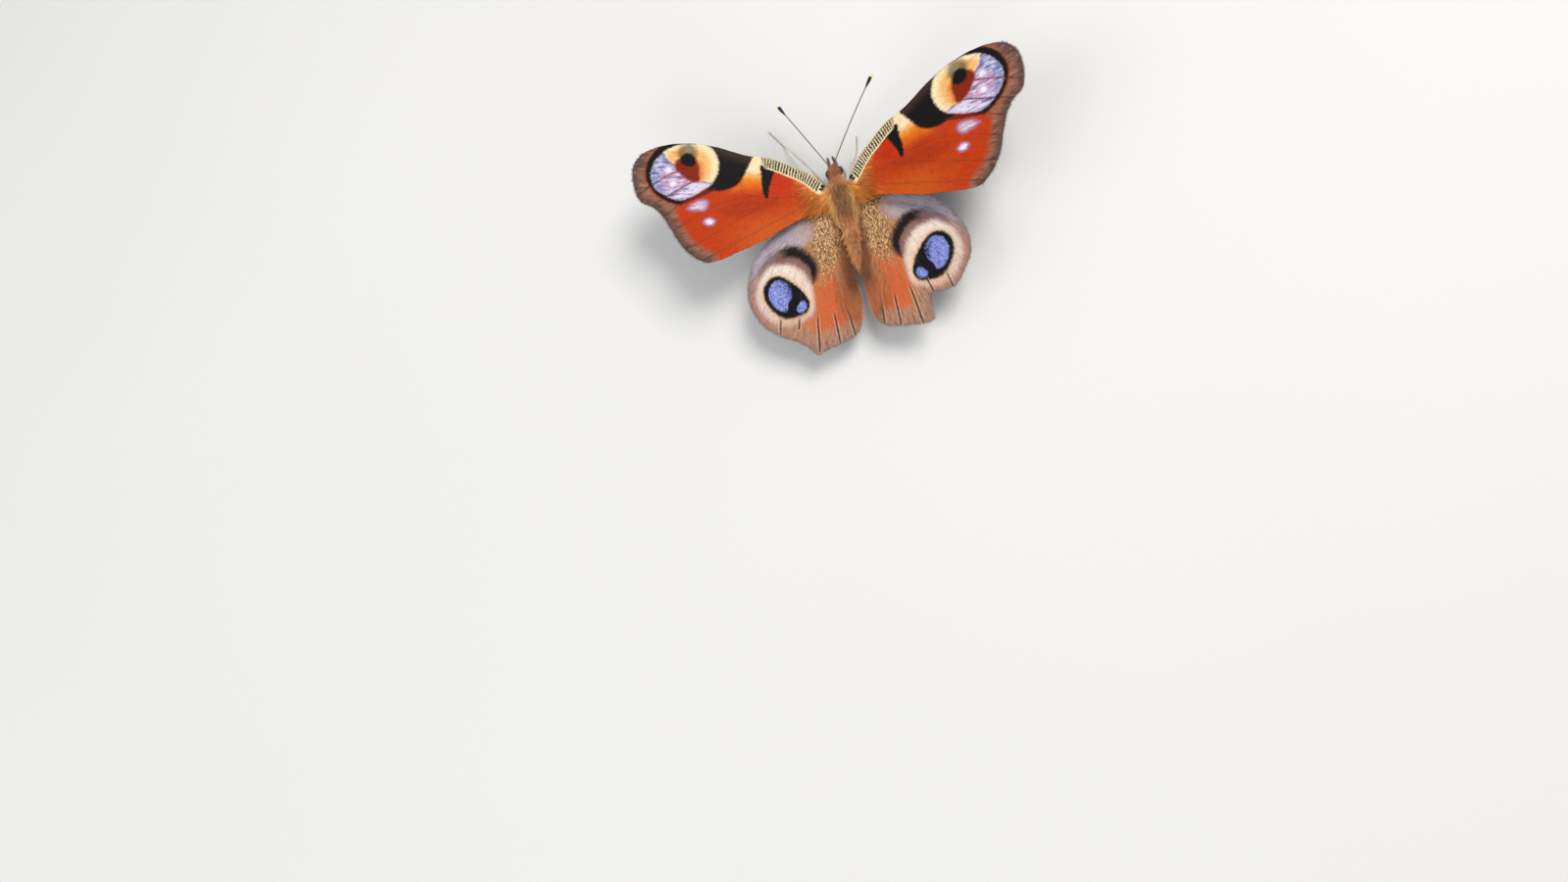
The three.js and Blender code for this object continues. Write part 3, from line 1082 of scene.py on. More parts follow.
@dataclass(frozen=True)
class WingMap:
    """What a wing's finish reads: the place on the wing and some noise to break edges with."""

    tree: ShaderTree
    u: Wire
    v: Wire
    outer: Wire
    front: Wire
    along: Wire
    vein: Wire
    grain: Wire
    hairy: Wire
    blotch: Wire
    speck: Wire
    streak: Wire

    @staticmethod
    def read(tree: ShaderTree, fan_from: Spot, wobble: float = 0.3) -> "WingMap":
        """Reads what the wing's pieces carry.

        Args:
            tree: The finish's tree.
            fan_from: The point from which the fine rays fan out.
            wobble: How far edges wander, in millimetres.

        Returns:
            The map.
        """
        u, v, outer = tree.carried("place")
        grain = tree.grain()
        plan = tree.vector(u, v, 0.0)
        blotch = tree.noise(plan, 0.9, 3.0) - 0.5
        speck = tree.noise(plan, 4.5, 2.0, 0.7) - 0.5
        du, dv = u - fan_from[0], v - fan_from[1]
        rays = tree.vector(tree.math("ARCTAN2", dv, du) * 70.0, tree.reach(du, dv) * 0.5, 0.0)
        streak = tree.noise(rays, 1.0, 2.0, 0.6) - 0.5
        turned = tree.math("FRACT", grain * 7.31) - 0.5
        return WingMap(tree, u + speck * wobble + grain * 0.06, v + blotch * wobble + turned * 0.12, outer,
                       *tree.carried("rim"), grain, tree.carried("tuft")[2], blotch, speck, streak)

    def mark(self, patch: Patch) -> Wire:
        """Draws a rounded patch on the wing."""
        return self.tree.mark(self.u, self.v, patch)

    def spot(self, middle: Spot, radius: float, soft: float) -> Wire:
        """Draws a round spot on the wing."""
        away = self.tree.reach(self.u - middle[0], self.v - middle[1])
        return away.falls(radius - soft / 2, radius + soft / 2)


Layer = tuple[Wire | float, Colour]


class Paint:
    """A colour that is built up in layers."""

    def __init__(self, tree: ShaderTree, ground: Colour) -> None:
        """Starts with the ground colour."""
        self.tree = tree
        self.colour: Wire | Colour = ground

    def over(self, share: Wire | float, colour: Colour, blend: str = "MIX") -> None:
        """Lays a colour over what is there."""
        self.colour = self.tree.mix(share, self.colour, colour, blend)

    def layered(self, layers: Sequence[Layer]) -> None:
        """Lays several colours over one another."""
        for share, colour in layers:
            self.over(share, colour)

    def grained(self, grain: Wire, amount: float) -> None:
        """Makes single tufts a little darker or lighter."""
        self.over(grain.rises(0.0, 1.0) * amount, shade(120, 112, 108), "MULTIPLY")
        self.over((0.0 - grain).rises(0.0, 1.0) * amount, shade(150, 146, 140), "SOFT_LIGHT")


@dataclass(frozen=True)
class WingFinish:
    """What the finishes of all wing faces share: a ground, layers over it, dark rays, grain and gloss."""

    name: str = "wing"
    ground: Colour = shade(128, 128, 128)
    ray: Colour = shade(128, 128, 128)
    ray_edge: Spot = (0.05, 0.3)
    ray_share: float = 0.0
    grain_share: float = 0.24
    roughness: float = 0.6
    specular: float = 0.16
    sheen: float = 0.03

    def layers(self, at: WingMap) -> list[Layer]:
        """Gives the markings, from the lowest layer to the top one."""
        return []

    def build(self, fan_from: Spot) -> Material:
        """Builds the finish.

        Args:
            fan_from: The point from which the wing's fine rays fan out.

        Returns:
            The material for this face's skin, veins, scales and hairs.
        """
        tree = ShaderTree(self.name)
        at = WingMap.read(tree, fan_from)
        paint = Paint(tree, self.ground)
        paint.layered(self.layers(at))
        if self.ray_share:
            paint.over(at.streak.rises(*self.ray_edge) * self.ray_share, self.ray, "MULTIPLY")
        paint.grained(at.grain, self.grain_share)
        normal = tree.bump(at.streak * 0.6 + at.speck, 0.35, 0.00004)
        return tree.finish(paint.colour, self.roughness, normal, Specular_IOR_Level=self.specular,
                           Sheen_Weight=self.sheen, Sheen_Roughness=0.4)


@dataclass(frozen=True)
class ForewingTop(WingFinish):
    """The markings of the forewing's upper face."""

    name: str = "forewing_upper"
    ground: Colour = shade(232, 146, 64)
    ray: Colour = shade(150, 120, 110)
    ray_share: float = 0.35
    roughness: float = 0.62
    honey: Colour = shade(240, 160, 76)
    root_dark: Colour = shade(142, 70, 34)
    root_pale: Colour = shade(248, 196, 110)
    brick: Colour = shade(196, 60, 8)
    scarlet: Colour = shade(202, 42, 8)
    orange: Colour = shade(208, 90, 22)
    ember: Colour = shade(150, 42, 12)
    sepia: Colour = shade(132, 46, 20)
    spark: Colour = shade(220, 96, 34)
    rust: Colour = shade(160, 44, 12)
    flame: Colour = shade(232, 112, 22)
    glow: Colour = shade(246, 166, 52)
    cream: Colour = shade(250, 230, 184)
    cream_dark: Colour = shade(226, 196, 150)
    black: Colour = shade(17, 13, 14)
    soot: Colour = shade(78, 58, 46)
    dust: Colour = shade(120, 96, 74)
    maroon: Colour = shade(138, 38, 10)
    olive: Colour = shade(92, 62, 36)
    lavender: Colour = shade(172, 152, 198)
    lilac: Colour = shade(206, 158, 186)
    white: Colour = shade(242, 236, 248)
    steel: Colour = shade(112, 136, 180)
    ink: Colour = shade(78, 76, 128)
    wine: Colour = shade(118, 38, 48)
    line: Colour = shade(86, 22, 22)
    margin: Colour = shade(154, 104, 80)
    margin_outer: Colour = shade(98, 72, 66)
    margin_dark: Colour = shade(82, 56, 48)
    margin_pale: Colour = shade(206, 162, 126)
    rim: Colour = shade(96, 76, 70)
    costa: Colour = shade(102, 78, 66)
    root_blush: Patch = Patch((6.9, 3.1), (
        (4.6, 2.6), (6.0, 4.3), (7.6, 4.6), (8.6, 2.6), (8.9, 1.2), (6.8, 1.6)), 1.6)
    cell_shadow: Patch = Patch((12.0, 0.3), (
        (7.0, 0.6), (10.0, 1.0), (13.5, 1.5), (17.0, 0.2), (14.0, -1.2), (9.0, -0.4)), 2.0)
    between_bars: Patch = Patch((10.9, 5.0), (
        (8.6, 8.8), (9.0, 5.4), (9.3, 2.6), (10.4, 2.7), (12.6, 3.0), (14.8, 3.3), (13.2, 5.2),
        (12.0, 6.8), (11.2, 8.6), (9.8, 9.0)), 2.2)
    long_bar: Patch = Patch((14.2, 6.6), (
        (10.1, 8.5), (10.4, 9.6), (12.0, 10.6), (14.0, 11.4), (16.6, 12.8), (18.0, 12.0), (19.0, 7.0),
        (18.6, 4.2), (17.1, 3.75), (15.7, 3.5), (14.25, 3.7), (13.1, 4.3), (11.9, 5.7), (11.0, 7.0)), 0.45)
    wedge: Patch = Patch((8.8, 4.4), (
        (7.25, 5.5), (8.2, 6.0), (9.4, 6.5), (9.5, 4.8), (9.7, 3.0), (9.6, 1.5), (9.25, 1.0), (8.9, 1.9),
        (8.3, 3.3), (7.7, 4.5)), 0.3)
    within_margin: Patch = Patch((22.0, 7.0), (
        (23.6, 12.8), (25.1, 12.2), (26.5, 10.9), (27.3, 9.2), (27.5, 7.6), (27.0, 6.0), (26.0, 4.5),
        (24.6, 3.3), (23.0, 2.4), (20.0, 1.6), (17.0, 3.0), (14.0, 8.0), (17.0, 14.0), (21.0, 13.8)), 0.6)
    black_rim: Patch = Patch((23.0, 7.4), (
        (21.6, 12.6), (23.4, 12.75), (25.1, 12.15), (26.5, 10.9), (27.3, 9.2), (27.4, 7.6), (26.9, 6.0),
        (25.9, 4.5), (24.4, 3.3), (22.9, 2.6), (21.5, 3.2), (20.0, 6.0)), 0.35)
    eye: Patch = Patch((20.6, 7.8), (
        (15.75, 7.9), (15.9, 9.5), (16.6, 10.9), (17.8, 11.6), (19.3, 11.9), (20.9, 12.2), (22.9, 12.0),
        (24.3, 11.3), (25.6, 10.2), (26.4, 8.8), (26.6, 7.4), (26.1, 5.9), (25.0, 4.7), (23.8, 3.8),
        (22.4, 3.3), (20.8, 3.6), (19.3, 4.1), (17.8, 4.7), (16.4, 6.1)), 0.35)
    far_side: Patch = Patch((23.0, 6.6), (
        (22.0, 8.4), (22.9, 9.4), (23.6, 10.4), (24.3, 12.0), (25.6, 11.4), (26.8, 10.0), (27.4, 7.8),
        (26.8, 5.0), (25.0, 3.4), (22.5, 2.5), (19.9, 3.4), (17.4, 4.4), (17.3, 5.2), (19.4, 5.8),
        (20.6, 6.3), (21.6, 7.0)), 0.7)
    far_middle: Patch = Patch((22.8, 7.2), (
        (21.4, 8.6), (23.4, 9.2), (24.6, 8.4), (24.8, 6.4), (23.6, 5.2), (21.6, 5.2), (20.8, 6.4)), 1.2)
    far_edge: Patch = Patch((25.7, 8.6), (
        (23.7, 11.6), (25.4, 11.4), (26.9, 9.4), (26.9, 7.4), (26.2, 5.6), (25.4, 6.4), (25.2, 8.2),
        (24.2, 9.4)), 0.9)
    far_foot: Patch = Patch((20.6, 4.7), (
        (17.6, 4.8), (19.2, 5.5), (21.0, 5.5), (22.6, 4.7), (23.6, 4.0), (22.2, 3.6), (20.0, 3.9)), 0.8)
    warm_side: Patch = Patch((18.3, 8.1), (
        (17.0, 8.0), (17.3, 9.6), (18.2, 10.7), (19.4, 10.4), (19.6, 8.4), (19.5, 6.6), (18.6, 5.6),
        (17.5, 6.4)), 1.5)
    warm_tip: Patch = Patch((22.2, 10.5), (
        (20.6, 11.3), (22.0, 11.5), (23.4, 10.9), (23.2, 9.8), (22.2, 9.4), (21.2, 10.2)), 1.0)
    flare: Patch = Patch((19.0, 7.4), (
        (18.3, 8.6), (19.2, 9.2), (19.6, 7.4), (19.6, 6.0), (18.9, 5.5), (18.4, 6.6)), 1.0)
    maroon_middle: Patch = Patch((20.6, 7.6), (
        (18.9, 8.6), (19.6, 9.8), (21.2, 10.0), (22.3, 9.7), (22.7, 8.9), (22.2, 7.9), (21.4, 6.7),
        (20.2, 5.8), (19.3, 5.7), (18.95, 7.1)), 0.55)
    brow: Patch = Patch((20.2, 10.5), (
        (18.9, 9.8), (18.8, 11.0), (19.6, 12.0), (21.2, 11.8), (21.9, 10.6), (21.0, 9.6),
        (19.8, 9.4)), 1.0)
    pupil: Patch = Patch((20.4, 9.6), (
        (19.1, 9.1), (19.35, 10.0), (20.0, 10.6), (20.8, 10.7), (21.6, 9.9), (21.5, 9.2), (20.9, 8.6),
        (20.0, 8.3)), 0.45)
    under_line: Patch = Patch((19.9, 3.45), (
        (16.9, 4.2), (18.4, 4.05), (20.2, 3.65), (22.6, 2.95), (23.0, 2.5), (21.4, 2.8), (19.4, 3.2),
        (17.6, 3.65)), 0.3)
    pale_patch: Patch = Patch((20.0, 1.9), (
        (18.4, 2.2), (19.0, 2.8), (20.2, 2.6), (21.2, 2.4), (21.9, 1.8), (21.2, 1.2), (20.2, 1.1),
        (19.2, 0.9)), 0.8)
    pale_heart: Patch = Patch((19.9, 1.9), (
        (18.9, 2.1), (19.8, 2.4), (20.9, 2.1), (21.2, 1.7), (20.2, 1.4), (19.3, 1.3)), 1.0)
    small_patch: Patch = Patch((18.75, -1.05), (
        (17.8, -0.95), (18.4, -0.45), (19.3, -0.4), (19.8, -0.95), (19.2, -1.6), (18.3, -1.6)), 0.6)
    small_heart: Patch = Patch((18.75, -1.0), (
        (18.1, -1.0), (18.6, -0.65), (19.3, -0.7), (19.4, -1.1), (18.8, -1.4)), 0.4)

    def layers(self, at: WingMap) -> list[Layer]:
        """Gives the markings, from the root of the wing to its pale spots."""
        return [*self._root(at), *self._front_band(at), *self._margin(at), *self._eyespot(at),
                *self._pupil(at), *self._pale_spots(at)]

    def _root(self, at: WingMap) -> list[Layer]:
        """Gives the golden root and the brick red of the wing.

        Args:
            at: The map of the wing.

        Returns:
            The layers, the lowest first.
        """
        root = (at.u + at.blotch * 2.2 - at.v * 0.3 + at.streak * 5.0).rises(0.6, 4.6)
        near = at.u.falls(2.0, 7.0)
        return [
            (root, self.brick),
            (((0.0 - at.v) + at.blotch * 2.0).rises(-0.4, 4.0) * at.u.falls(10.0, 19.0) * root, self.orange),
            (at.mark(self.root_blush) * 0.75, self.scarlet),
            (at.mark(self.cell_shadow) * 0.4, self.ember),
            (at.hairy * 0.6, self.honey),
            (at.streak.rises(0.0, 0.14) * near * 0.6, self.root_dark),
            (at.streak.falls(-0.16, -0.04) * near * 0.5, self.root_pale),
            (at.vein.falls(0.04, 0.2) * at.u.rises(1.0, 5.0) * 0.4, self.sepia),
            (at.streak.rises(0.0, 0.2) * root * at.u.falls(19.0, 23.0) * 0.3, self.spark),
            (at.streak.falls(-0.2, -0.06) * root * 0.3, self.rust),
        ]

    def _front_band(self, at: WingMap) -> list[Layer]:
        """Gives the barred band, the two black bars and the glow between them.

        Args:
            at: The map of the wing.

        Returns:
            The layers, the lowest first.
        """
        glow = at.mark(self.between_bars)
        warmth = at.v - at.u * 0.1 + at.blotch
        bar = at.mark(self.long_bar)
        near = at.front.falls(1.75, 1.95) * (at.u + at.front * 0.3).falls(8.8, 9.6)
        band = near * (at.u + at.v).rises(0.6, 1.8) * (1.0 - at.hairy)
        bars = at.tree.wave(at.along + at.front * 0.22 + at.blotch * 0.35, 0.48).rises(0.25, 0.5)
        inner = at.front.rises(0.08, 0.2) * at.front.falls(1.5, 1.75)
        return [
            (glow * 0.9, self.flame),
            (glow * warmth.rises(2.4, 4.2) * at.u.falls(11.6, 13.4), self.glow),
            (glow * (warmth - at.u * 0.15).rises(1.7, 3.5), self.cream),
            (bar, self.black),
            (bar * (at.front + at.speck * 1.5).falls(0.2, 2.0) * 0.6, self.soot),
            (at.mark(self.wedge), self.black),
            (band, self.cream),
            (bars * band * inner, self.black),
            (band * at.front.falls(0.05, 0.2) * 0.5, self.dust),
        ]

    def _margin(self, at: WingMap) -> list[Layer]:
        """Gives the brown outer margin with its darker rays.

        Args:
            at: The map of the wing.

        Returns:
            The layers, the lowest first.
        """
        tip = (1.0 - at.mark(self.within_margin)) * at.u.rises(22.8, 23.6) * at.v.rises(1.4, 2.6)
        edge = (at.outer + at.blotch * 0.6 + at.streak * 0.6).falls(1.3, 2.5)
        margin = at.tree.most(edge, tip)
        return [
            (margin, self.margin),
            (margin * (at.outer + at.blotch * 0.8).falls(0.5, 1.5) * 0.85, self.margin_outer),
            (margin * at.streak.rises(0.03, 0.14) * 0.6, self.margin_dark),
            (margin * at.streak.falls(-0.2, -0.08) * 0.4, self.margin_pale),
            (margin * (at.vein + at.speck * 0.1).falls(0.06, 0.22) * 0.8, self.margin_dark),
            ((at.outer + at.speck * 0.3).falls(0.1, 0.4) * 0.6, self.rim),
            (at.front.falls(0.25, 0.7) * at.u.rises(16.5, 18.0), self.costa),
        ]

    def _eyespot(self, at: WingMap) -> list[Layer]:
        """Gives the great eyespot near the tip, with the pale strokes of its outer half.

        Args:
            at: The map of the wing.

        Returns:
            The layers, the lowest first.
        """
        eye = at.mark(self.eye)
        far = eye * at.mark(self.far_side)
        strokes = at.streak + at.speck * 0.3
        lines = at.vein.falls(0.06, 0.2) * (at.u - at.v * 0.9).rises(14.0, 14.6) * at.v.falls(8.6, 9.4)
        glints = [(glint, self.white) for middle in ((23.7, 8.6), (23.4, 6.25))
                  for glint in (at.spot(middle, 0.7, 0.6) * 0.5, at.spot(middle, 0.42, 0.35))]
        return [
            (at.mark(self.black_rim), self.black),
            (eye, self.cream),
            (eye * at.streak.rises(0.04, 0.2) * 0.25, self.cream_dark),
            (far, self.lavender),
            (far * at.mark(self.far_middle) * 0.85, self.lilac),
            (far * at.mark(self.far_edge) * 0.7, self.steel),
            (far * at.mark(self.far_foot) * 0.7, self.white),
            (far * strokes.rises(0.02, 0.12) * 0.75, self.white),
            (far * strokes.falls(-0.16, -0.04) * 0.8, self.ink),
            (far * at.speck.rises(0.12, 0.2) * 0.4, self.steel),
            (far * lines * 0.85, self.wine),
            *glints,
        ]

    def _pupil(self, at: WingMap) -> list[Layer]:
        """Gives the warm side, the maroon middle and the black pupil of the eyespot.

        Args:
            at: The map of the wing.

        Returns:
            The layers, the lowest first.
        """
        return [
            (at.mark(self.warm_side) * 0.7, self.glow),
            (at.mark(self.warm_tip) * 0.7, self.glow),
            (at.mark(self.flare) * 0.65, self.flame),
            (at.mark(self.maroon_middle), self.maroon),
            (at.mark(self.brow) * 0.75, self.olive),
            (at.mark(self.pupil), self.black),
        ]

    def _pale_spots(self, at: WingMap) -> list[Layer]:
        """Gives the dark line and the pale spots below the eyespot.

        Args:
            at: The map of the wing.

        Returns:
            The layers, the lowest first.
        """
        strokes = at.streak + at.speck * 0.5
        return [
            (at.mark(self.under_line) * 0.8, self.line),
            (at.mark(self.pale_patch) * (strokes.rises(-0.1, 0.1) * 0.5 + 0.45), self.lavender),
            (at.mark(self.pale_heart) * (strokes.rises(-0.1, 0.06) * 0.5 + 0.4), self.white),
            (at.mark(self.small_patch) * strokes.rises(-0.25, -0.05) * 0.85, self.lavender),
            (at.mark(self.small_heart), self.white),
        ]


@dataclass(frozen=True)
class HindwingTop(WingFinish):
    """The markings of the hindwing's upper face."""

    name: str = "hindwing_upper"
    ground: Colour = shade(186, 128, 80)
    ray: Colour = shade(160, 130, 116)
    ray_edge: Spot = (0.04, 0.22)
    ray_share: float = 0.35
    roughness: float = 0.66
    sheen: float = 0.04
    gold: Colour = shade(240, 208, 150)
    umber: Colour = shade(76, 50, 36)
    soil: Colour = shade(146, 92, 54)
    # painted shade for the gap beside the abdomen
    painted_gap_shade: Colour = shade(104, 56, 36)
    fawn: Colour = shade(250, 176, 118)
    fox: Colour = shade(238, 122, 72)
    straw: Colour = shade(255, 216, 158)
    bark: Colour = shade(136, 86, 58)
    copper: Colour = shade(206, 124, 74)
    tan: Colour = shade(178, 132, 106)
    tan_grey: Colour = shade(158, 134, 134)
    tan_pale: Colour = shade(214, 184, 160)
    disc: Colour = shade(212, 96, 50)
    grey: Colour = shade(190, 178, 190)
    grey_dark: Colour = shade(120, 104, 112)
    grey_warm: Colour = shade(196, 158, 130)
    rim: Colour = shade(150, 122, 114)
    dark: Colour = shade(30, 20, 22)
    smoke: Colour = shade(98, 80, 84)
    ring: Colour = shade(240, 226, 212)
    ring_low: Colour = shade(194, 154, 126)
    ring_line: Colour = shade(186, 164, 160)
    ring_warm: Colour = shade(196, 112, 78)
    ring_cool: Colour = shade(194, 184, 188)
    peach: Colour = shade(236, 188, 146)
    rose: Colour = shade(188, 132, 116)
    black: Colour = shade(12, 10, 16)
    blue: Colour = shade(132, 144, 218)
    sky: Colour = shade(180, 188, 242)
    violet: Colour = shade(142, 120, 206)
    night: Colour = shade(30, 28, 60)
    glint: Colour = shade(214, 218, 250)
    stripe: Colour = shade(72, 46, 38)
    stripe_edge: Colour = shade(226, 200, 176)
    stripe_faint: Colour = shade(120, 86, 66)
    red_disc: Patch = Patch((2.6, -14.0), (
        (-1.4, -12.0), (0.8, -9.4), (3.6, -8.8), (5.4, -10.4), (6.2, -13.0), (6.0, -16.0), (4.6, -17.8),
        (2.4, -18.2), (-0.2, -17.4), (-1.6, -15.0)), 5.0)
    costal: Patch = Patch((9.8, -1.6), (
        (3.6, -1.0), (6.5, 1.6), (9.0, 1.0), (12.0, -0.6), (14.5, -3.4), (16.2, -7.5), (15.0, -8.0),
        (14.0, -6.4), (12.4, -4.8), (9.5, -3.8), (7.0, -3.6), (5.2, -3.2)), 2.2)
    crescent: Patch = Patch((9.0, -7.0), (
        (5.6, -9.6), (4.7, -9.0), (4.1, -7.4), (4.4, -5.75), (5.4, -4.4), (6.6, -3.3), (8.0, -2.95),
        (9.5, -3.2), (11.4, -3.9), (13.2, -5.6), (13.2, -7.2), (8.0, -9.6)), 1.1)
    blush: Patch = Patch((10.0, -9.8), (
        (9.7, -4.9), (8.6, -4.7), (7.5, -4.9), (6.6, -5.5), (5.8, -6.6), (5.35, -8.0), (5.4, -9.1),
        (5.4, -11.0), (5.8, -14.4), (8.0, -15.5), (11.0, -15.6), (13.4, -14.2), (14.7, -12.0),
        (15.0, -9.8), (14.4, -7.8), (13.0, -6.0), (11.4, -5.0)), 0.7)
    pale_ring: Patch = Patch((10.2, -10.2), (
        (9.4, -5.6), (7.9, -6.1), (6.8, -7.1), (6.1, -8.5), (5.7, -10.2), (5.8, -12.0), (6.1, -13.8),
        (8.0, -15.0), (11.2, -15.0), (13.0, -13.7), (14.1, -11.8), (14.4, -9.8), (13.9, -8.1),
        (12.7, -6.5), (11.3, -5.5)), 1.1)
    halo: Patch = Patch((9.8, -10.9), (
        (5.9, -12.6), (6.7, -10.0), (8.2, -8.0), (10.3, -6.7), (12.1, -7.0), (13.7, -8.8), (13.7, -11.2),
        (12.6, -13.5), (10.8, -14.8), (8.4, -14.9), (6.5, -14.1)), 1.0)
    ellipse: Patch = Patch((9.8, -10.9), (
        (6.4, -12.4), (7.15, -10.4), (8.5, -8.6), (10.3, -7.25), (11.9, -7.4), (13.15, -8.8),
        (13.15, -10.9), (12.1, -12.9), (10.6, -14.1), (8.6, -14.25), (7.0, -13.7)), 0.4)
    large_pupil: Patch = Patch((10.9, -10.4), (
        (10.2, -8.1), (9.2, -8.75), (8.85, -9.75), (9.1, -11.0), (9.8, -11.9), (10.1, -12.9),
        (11.2, -12.7), (12.1, -11.5), (12.45, -10.1), (12.1, -8.8), (11.2, -8.0)), 0.35)
    small_pupil: Patch = Patch((7.85, -12.75), (
        (7.0, -12.3), (7.5, -12.0), (8.2, -12.4), (8.6, -13.1), (8.2, -13.6), (7.5, -13.5),
        (7.0, -13.0)), 0.3)

    def layers(self, at: WingMap) -> list[Layer]:
        """Gives the markings, from the root of the wing to its eyespot and stripes.

        Args:
            at: The map of the wing.

        Returns:
            The layers, the lowest first.
        """
        down = 0.0 - at.v
        return [*self._disc(at, down), *self._granules(at, down), *self._edges(at, down),
                *self._ring(at, down), *self._pupils(at), *self._stripes(at, down)]

    def _disc(self, at: WingMap, down: Wire) -> list[Layer]:
        """Gives the copper field with the red disc.

        Args:
            at: The map of the wing.
            down: How far toward the tail a point is.

        Returns:
            The layers, the lowest first.
        """
        rays = at.streak + at.speck * 0.25
        disc = at.mark(self.red_disc)
        inner = (at.u + at.blotch * 2.0).falls(-0.8, 2.0) * down.rises(6.0, 10.0)
        return [
            ((down + at.blotch * 3.0).rises(5.0, 11.0), self.copper),
            (disc * (0.95 - (rays + at.blotch * 0.6).rises(-0.08, 0.18) * 0.55), self.disc),
            (disc * rays.falls(-0.2, -0.06) * 0.35, self.copper),
            (inner * 0.35, self.ground),
        ]

    def _granules(self, at: WingMap, down: Wire) -> list[Layer]:
        """Gives the sown gold of the root, the colours of the hairs and painted shade in the gap beside the
        abdomen.

        Args:
            at: The map of the wing.
            down: How far toward the tail a point is.

        Returns:
            The layers, the lowest first.
        """
        rays = at.streak + at.speck * 0.25
        strip = (at.u - (down - 6.0) * 0.62 + at.blotch * 1.5).rises(-0.6, 0.8)
        fading = (down + at.blotch * 3.0 + rays * 4.0).falls(6.0, 12.5)
        sown = (at.u + at.blotch * 2.0).falls(3.2, 5.8) * strip * fading
        fine = at.tree.noise(at.tree.vector(at.u, at.v, 0.0), 4.3, 0.0) - 0.5 + at.grain * 0.12
        beside = (at.u - down * 0.05 + at.blotch * 0.6).falls(-0.5, 0.9)
        # painted shade: darkens the wing beside the abdomen, where the gap between them lies in shade
        gap_shade_mask = beside * down.rises(1.0, 3.0) * down.falls(9.0, 13.0)
        return [
            (sown * 0.5, self.soil),
            (sown * fine.rises(0.0, 0.12) * 0.85, self.gold),
            (sown * fine.falls(-0.16, -0.03) * 0.8, self.umber),
            (at.hairy * 0.6, self.fawn),
            (at.hairy * at.mark(self.red_disc) * 0.6, self.fox),
            (at.hairy * at.grain.rises(0.1, 0.7) * 0.6, self.straw),
            (at.hairy * at.grain.falls(-0.9, -0.6) * 0.4, self.bark),
            (gap_shade_mask * 0.7, self.painted_gap_shade),
        ]

    def _edges(self, at: WingMap, down: Wire) -> list[Layer]:
        """Gives the tan outer margin and the grey front of the wing.

        Args:
            at: The map of the wing.
            down: How far toward the tail a point is.

        Returns:
            The layers, the lowest first.
        """
        reach = at.tree.most(down.rises(12.0, 14.5), (at.u + at.blotch).rises(10.0, 12.5))
        margin = (at.outer + at.blotch * 1.2 + at.streak * 1.5).falls(1.9, 3.3) * reach
        costal = at.mark(self.costal)
        return [
            (margin, self.tan),
            (margin * down.falls(8.0, 13.0) * 0.7, self.tan_grey),
            (margin * at.streak.rises(0.04, 0.2) * 0.45, self.stripe),
            (margin * at.streak.falls(-0.2, -0.06) * 0.35, self.tan_pale),
            (costal * 0.9, self.grey),
            (costal * at.streak.rises(-0.02, 0.16) * 0.4, self.grey_dark),
            (costal * at.u.falls(4.0, 8.0) * 0.45, self.grey_warm),
            (at.outer.falls(0.2, 1.1) * down.rises(3.0, 7.0) * 0.6, self.rim),
        ]

    def _ring(self, at: WingMap, down: Wire) -> list[Layer]:
        """Gives the dark crescent and the pale ring of the eyespot, with feathered edges.

        Args:
            at: The map of the wing.
            down: How far toward the tail a point is.

        Returns:
            The layers, the lowest first.
        """
        feather = at.streak * 1.3 + at.speck * 0.4
        dark, blush, ring = (at.tree.mark(at.u + feather * 0.5, at.v - feather, patch)
                             for patch in (self.crescent, self.blush, self.pale_ring))
        inward = at.u - at.v * 0.25
        return [
            (dark * 0.7, self.smoke),
            (dark * (at.u - at.v * 0.2 + at.blotch * 2.0).falls(8.6, 11.4), self.dark),
            (blush * 0.9, self.rose),
            (dark * blush * 0.5, self.smoke),
            (ring, self.ring),
            (ring * (down + at.blotch).rises(12.4, 15.2) * 0.85, self.ring_low),
            (ring * at.streak.rises(0.05, 0.2) * 0.25, self.ring_line),
            (ring * inward.falls(8.0, 10.4) * 0.4, self.peach),
            (ring * (inward + at.blotch).falls(6.8, 8.0) * 0.5, self.ring_warm),
            (ring * (inward + at.blotch).rises(14.8, 16.8) * 0.5, self.ring_cool),
        ]

    def _pupils(self, at: WingMap) -> list[Layer]:
        """Gives the black ellipse and the two blue pupils.

        Args:
            at: The map of the wing.

        Returns:
            The layers, the lowest first.
        """
        ragged = at.u * 0.5 - at.v * 0.1 + at.speck * 1.2 + at.grain * 0.35
        blue = at.tree.most(at.mark(self.large_pupil) * ragged.rises(5.35, 5.85), at.mark(self.small_pupil))
        return [
            (at.mark(self.halo) * 0.6, self.peach),
            (at.mark(self.ellipse), self.black),
            (blue, self.blue),
            (blue * at.speck.falls(-0.16, -0.04) * 0.7, self.sky),
            (blue * at.blotch.rises(0.0, 0.16) * 0.4, self.violet),
            (blue * at.grain.rises(0.7, 0.78) * 0.8, self.night),
            (blue * at.grain.falls(-0.8, -0.7) * 0.7, self.glint),
        ]

    def _stripes(self, at: WingMap, down: Wire) -> list[Layer]:
        """Gives the dark stripes on the veins of the lower edge.

        Args:
            at: The map of the wing.
            down: How far toward the tail a point is.

        Returns:
            The layers, the lowest first.
        """
        low = (down + at.outer * -0.5).rises(12.0, 13.6)
        beside = at.vein - 0.16
        faint = at.vein.falls(0.04, 0.14) * down.rises(7.0, 9.0) * down.falls(10.0, 14.0)
        return [
            (beside.rises(0.0, 0.06) * beside.falls(0.1, 0.2) * low * 0.5, self.stripe_edge),
            (at.vein.falls(0.08, 0.2) * low * 0.9, self.stripe),
            (faint * 0.2, self.stripe_faint),
        ]


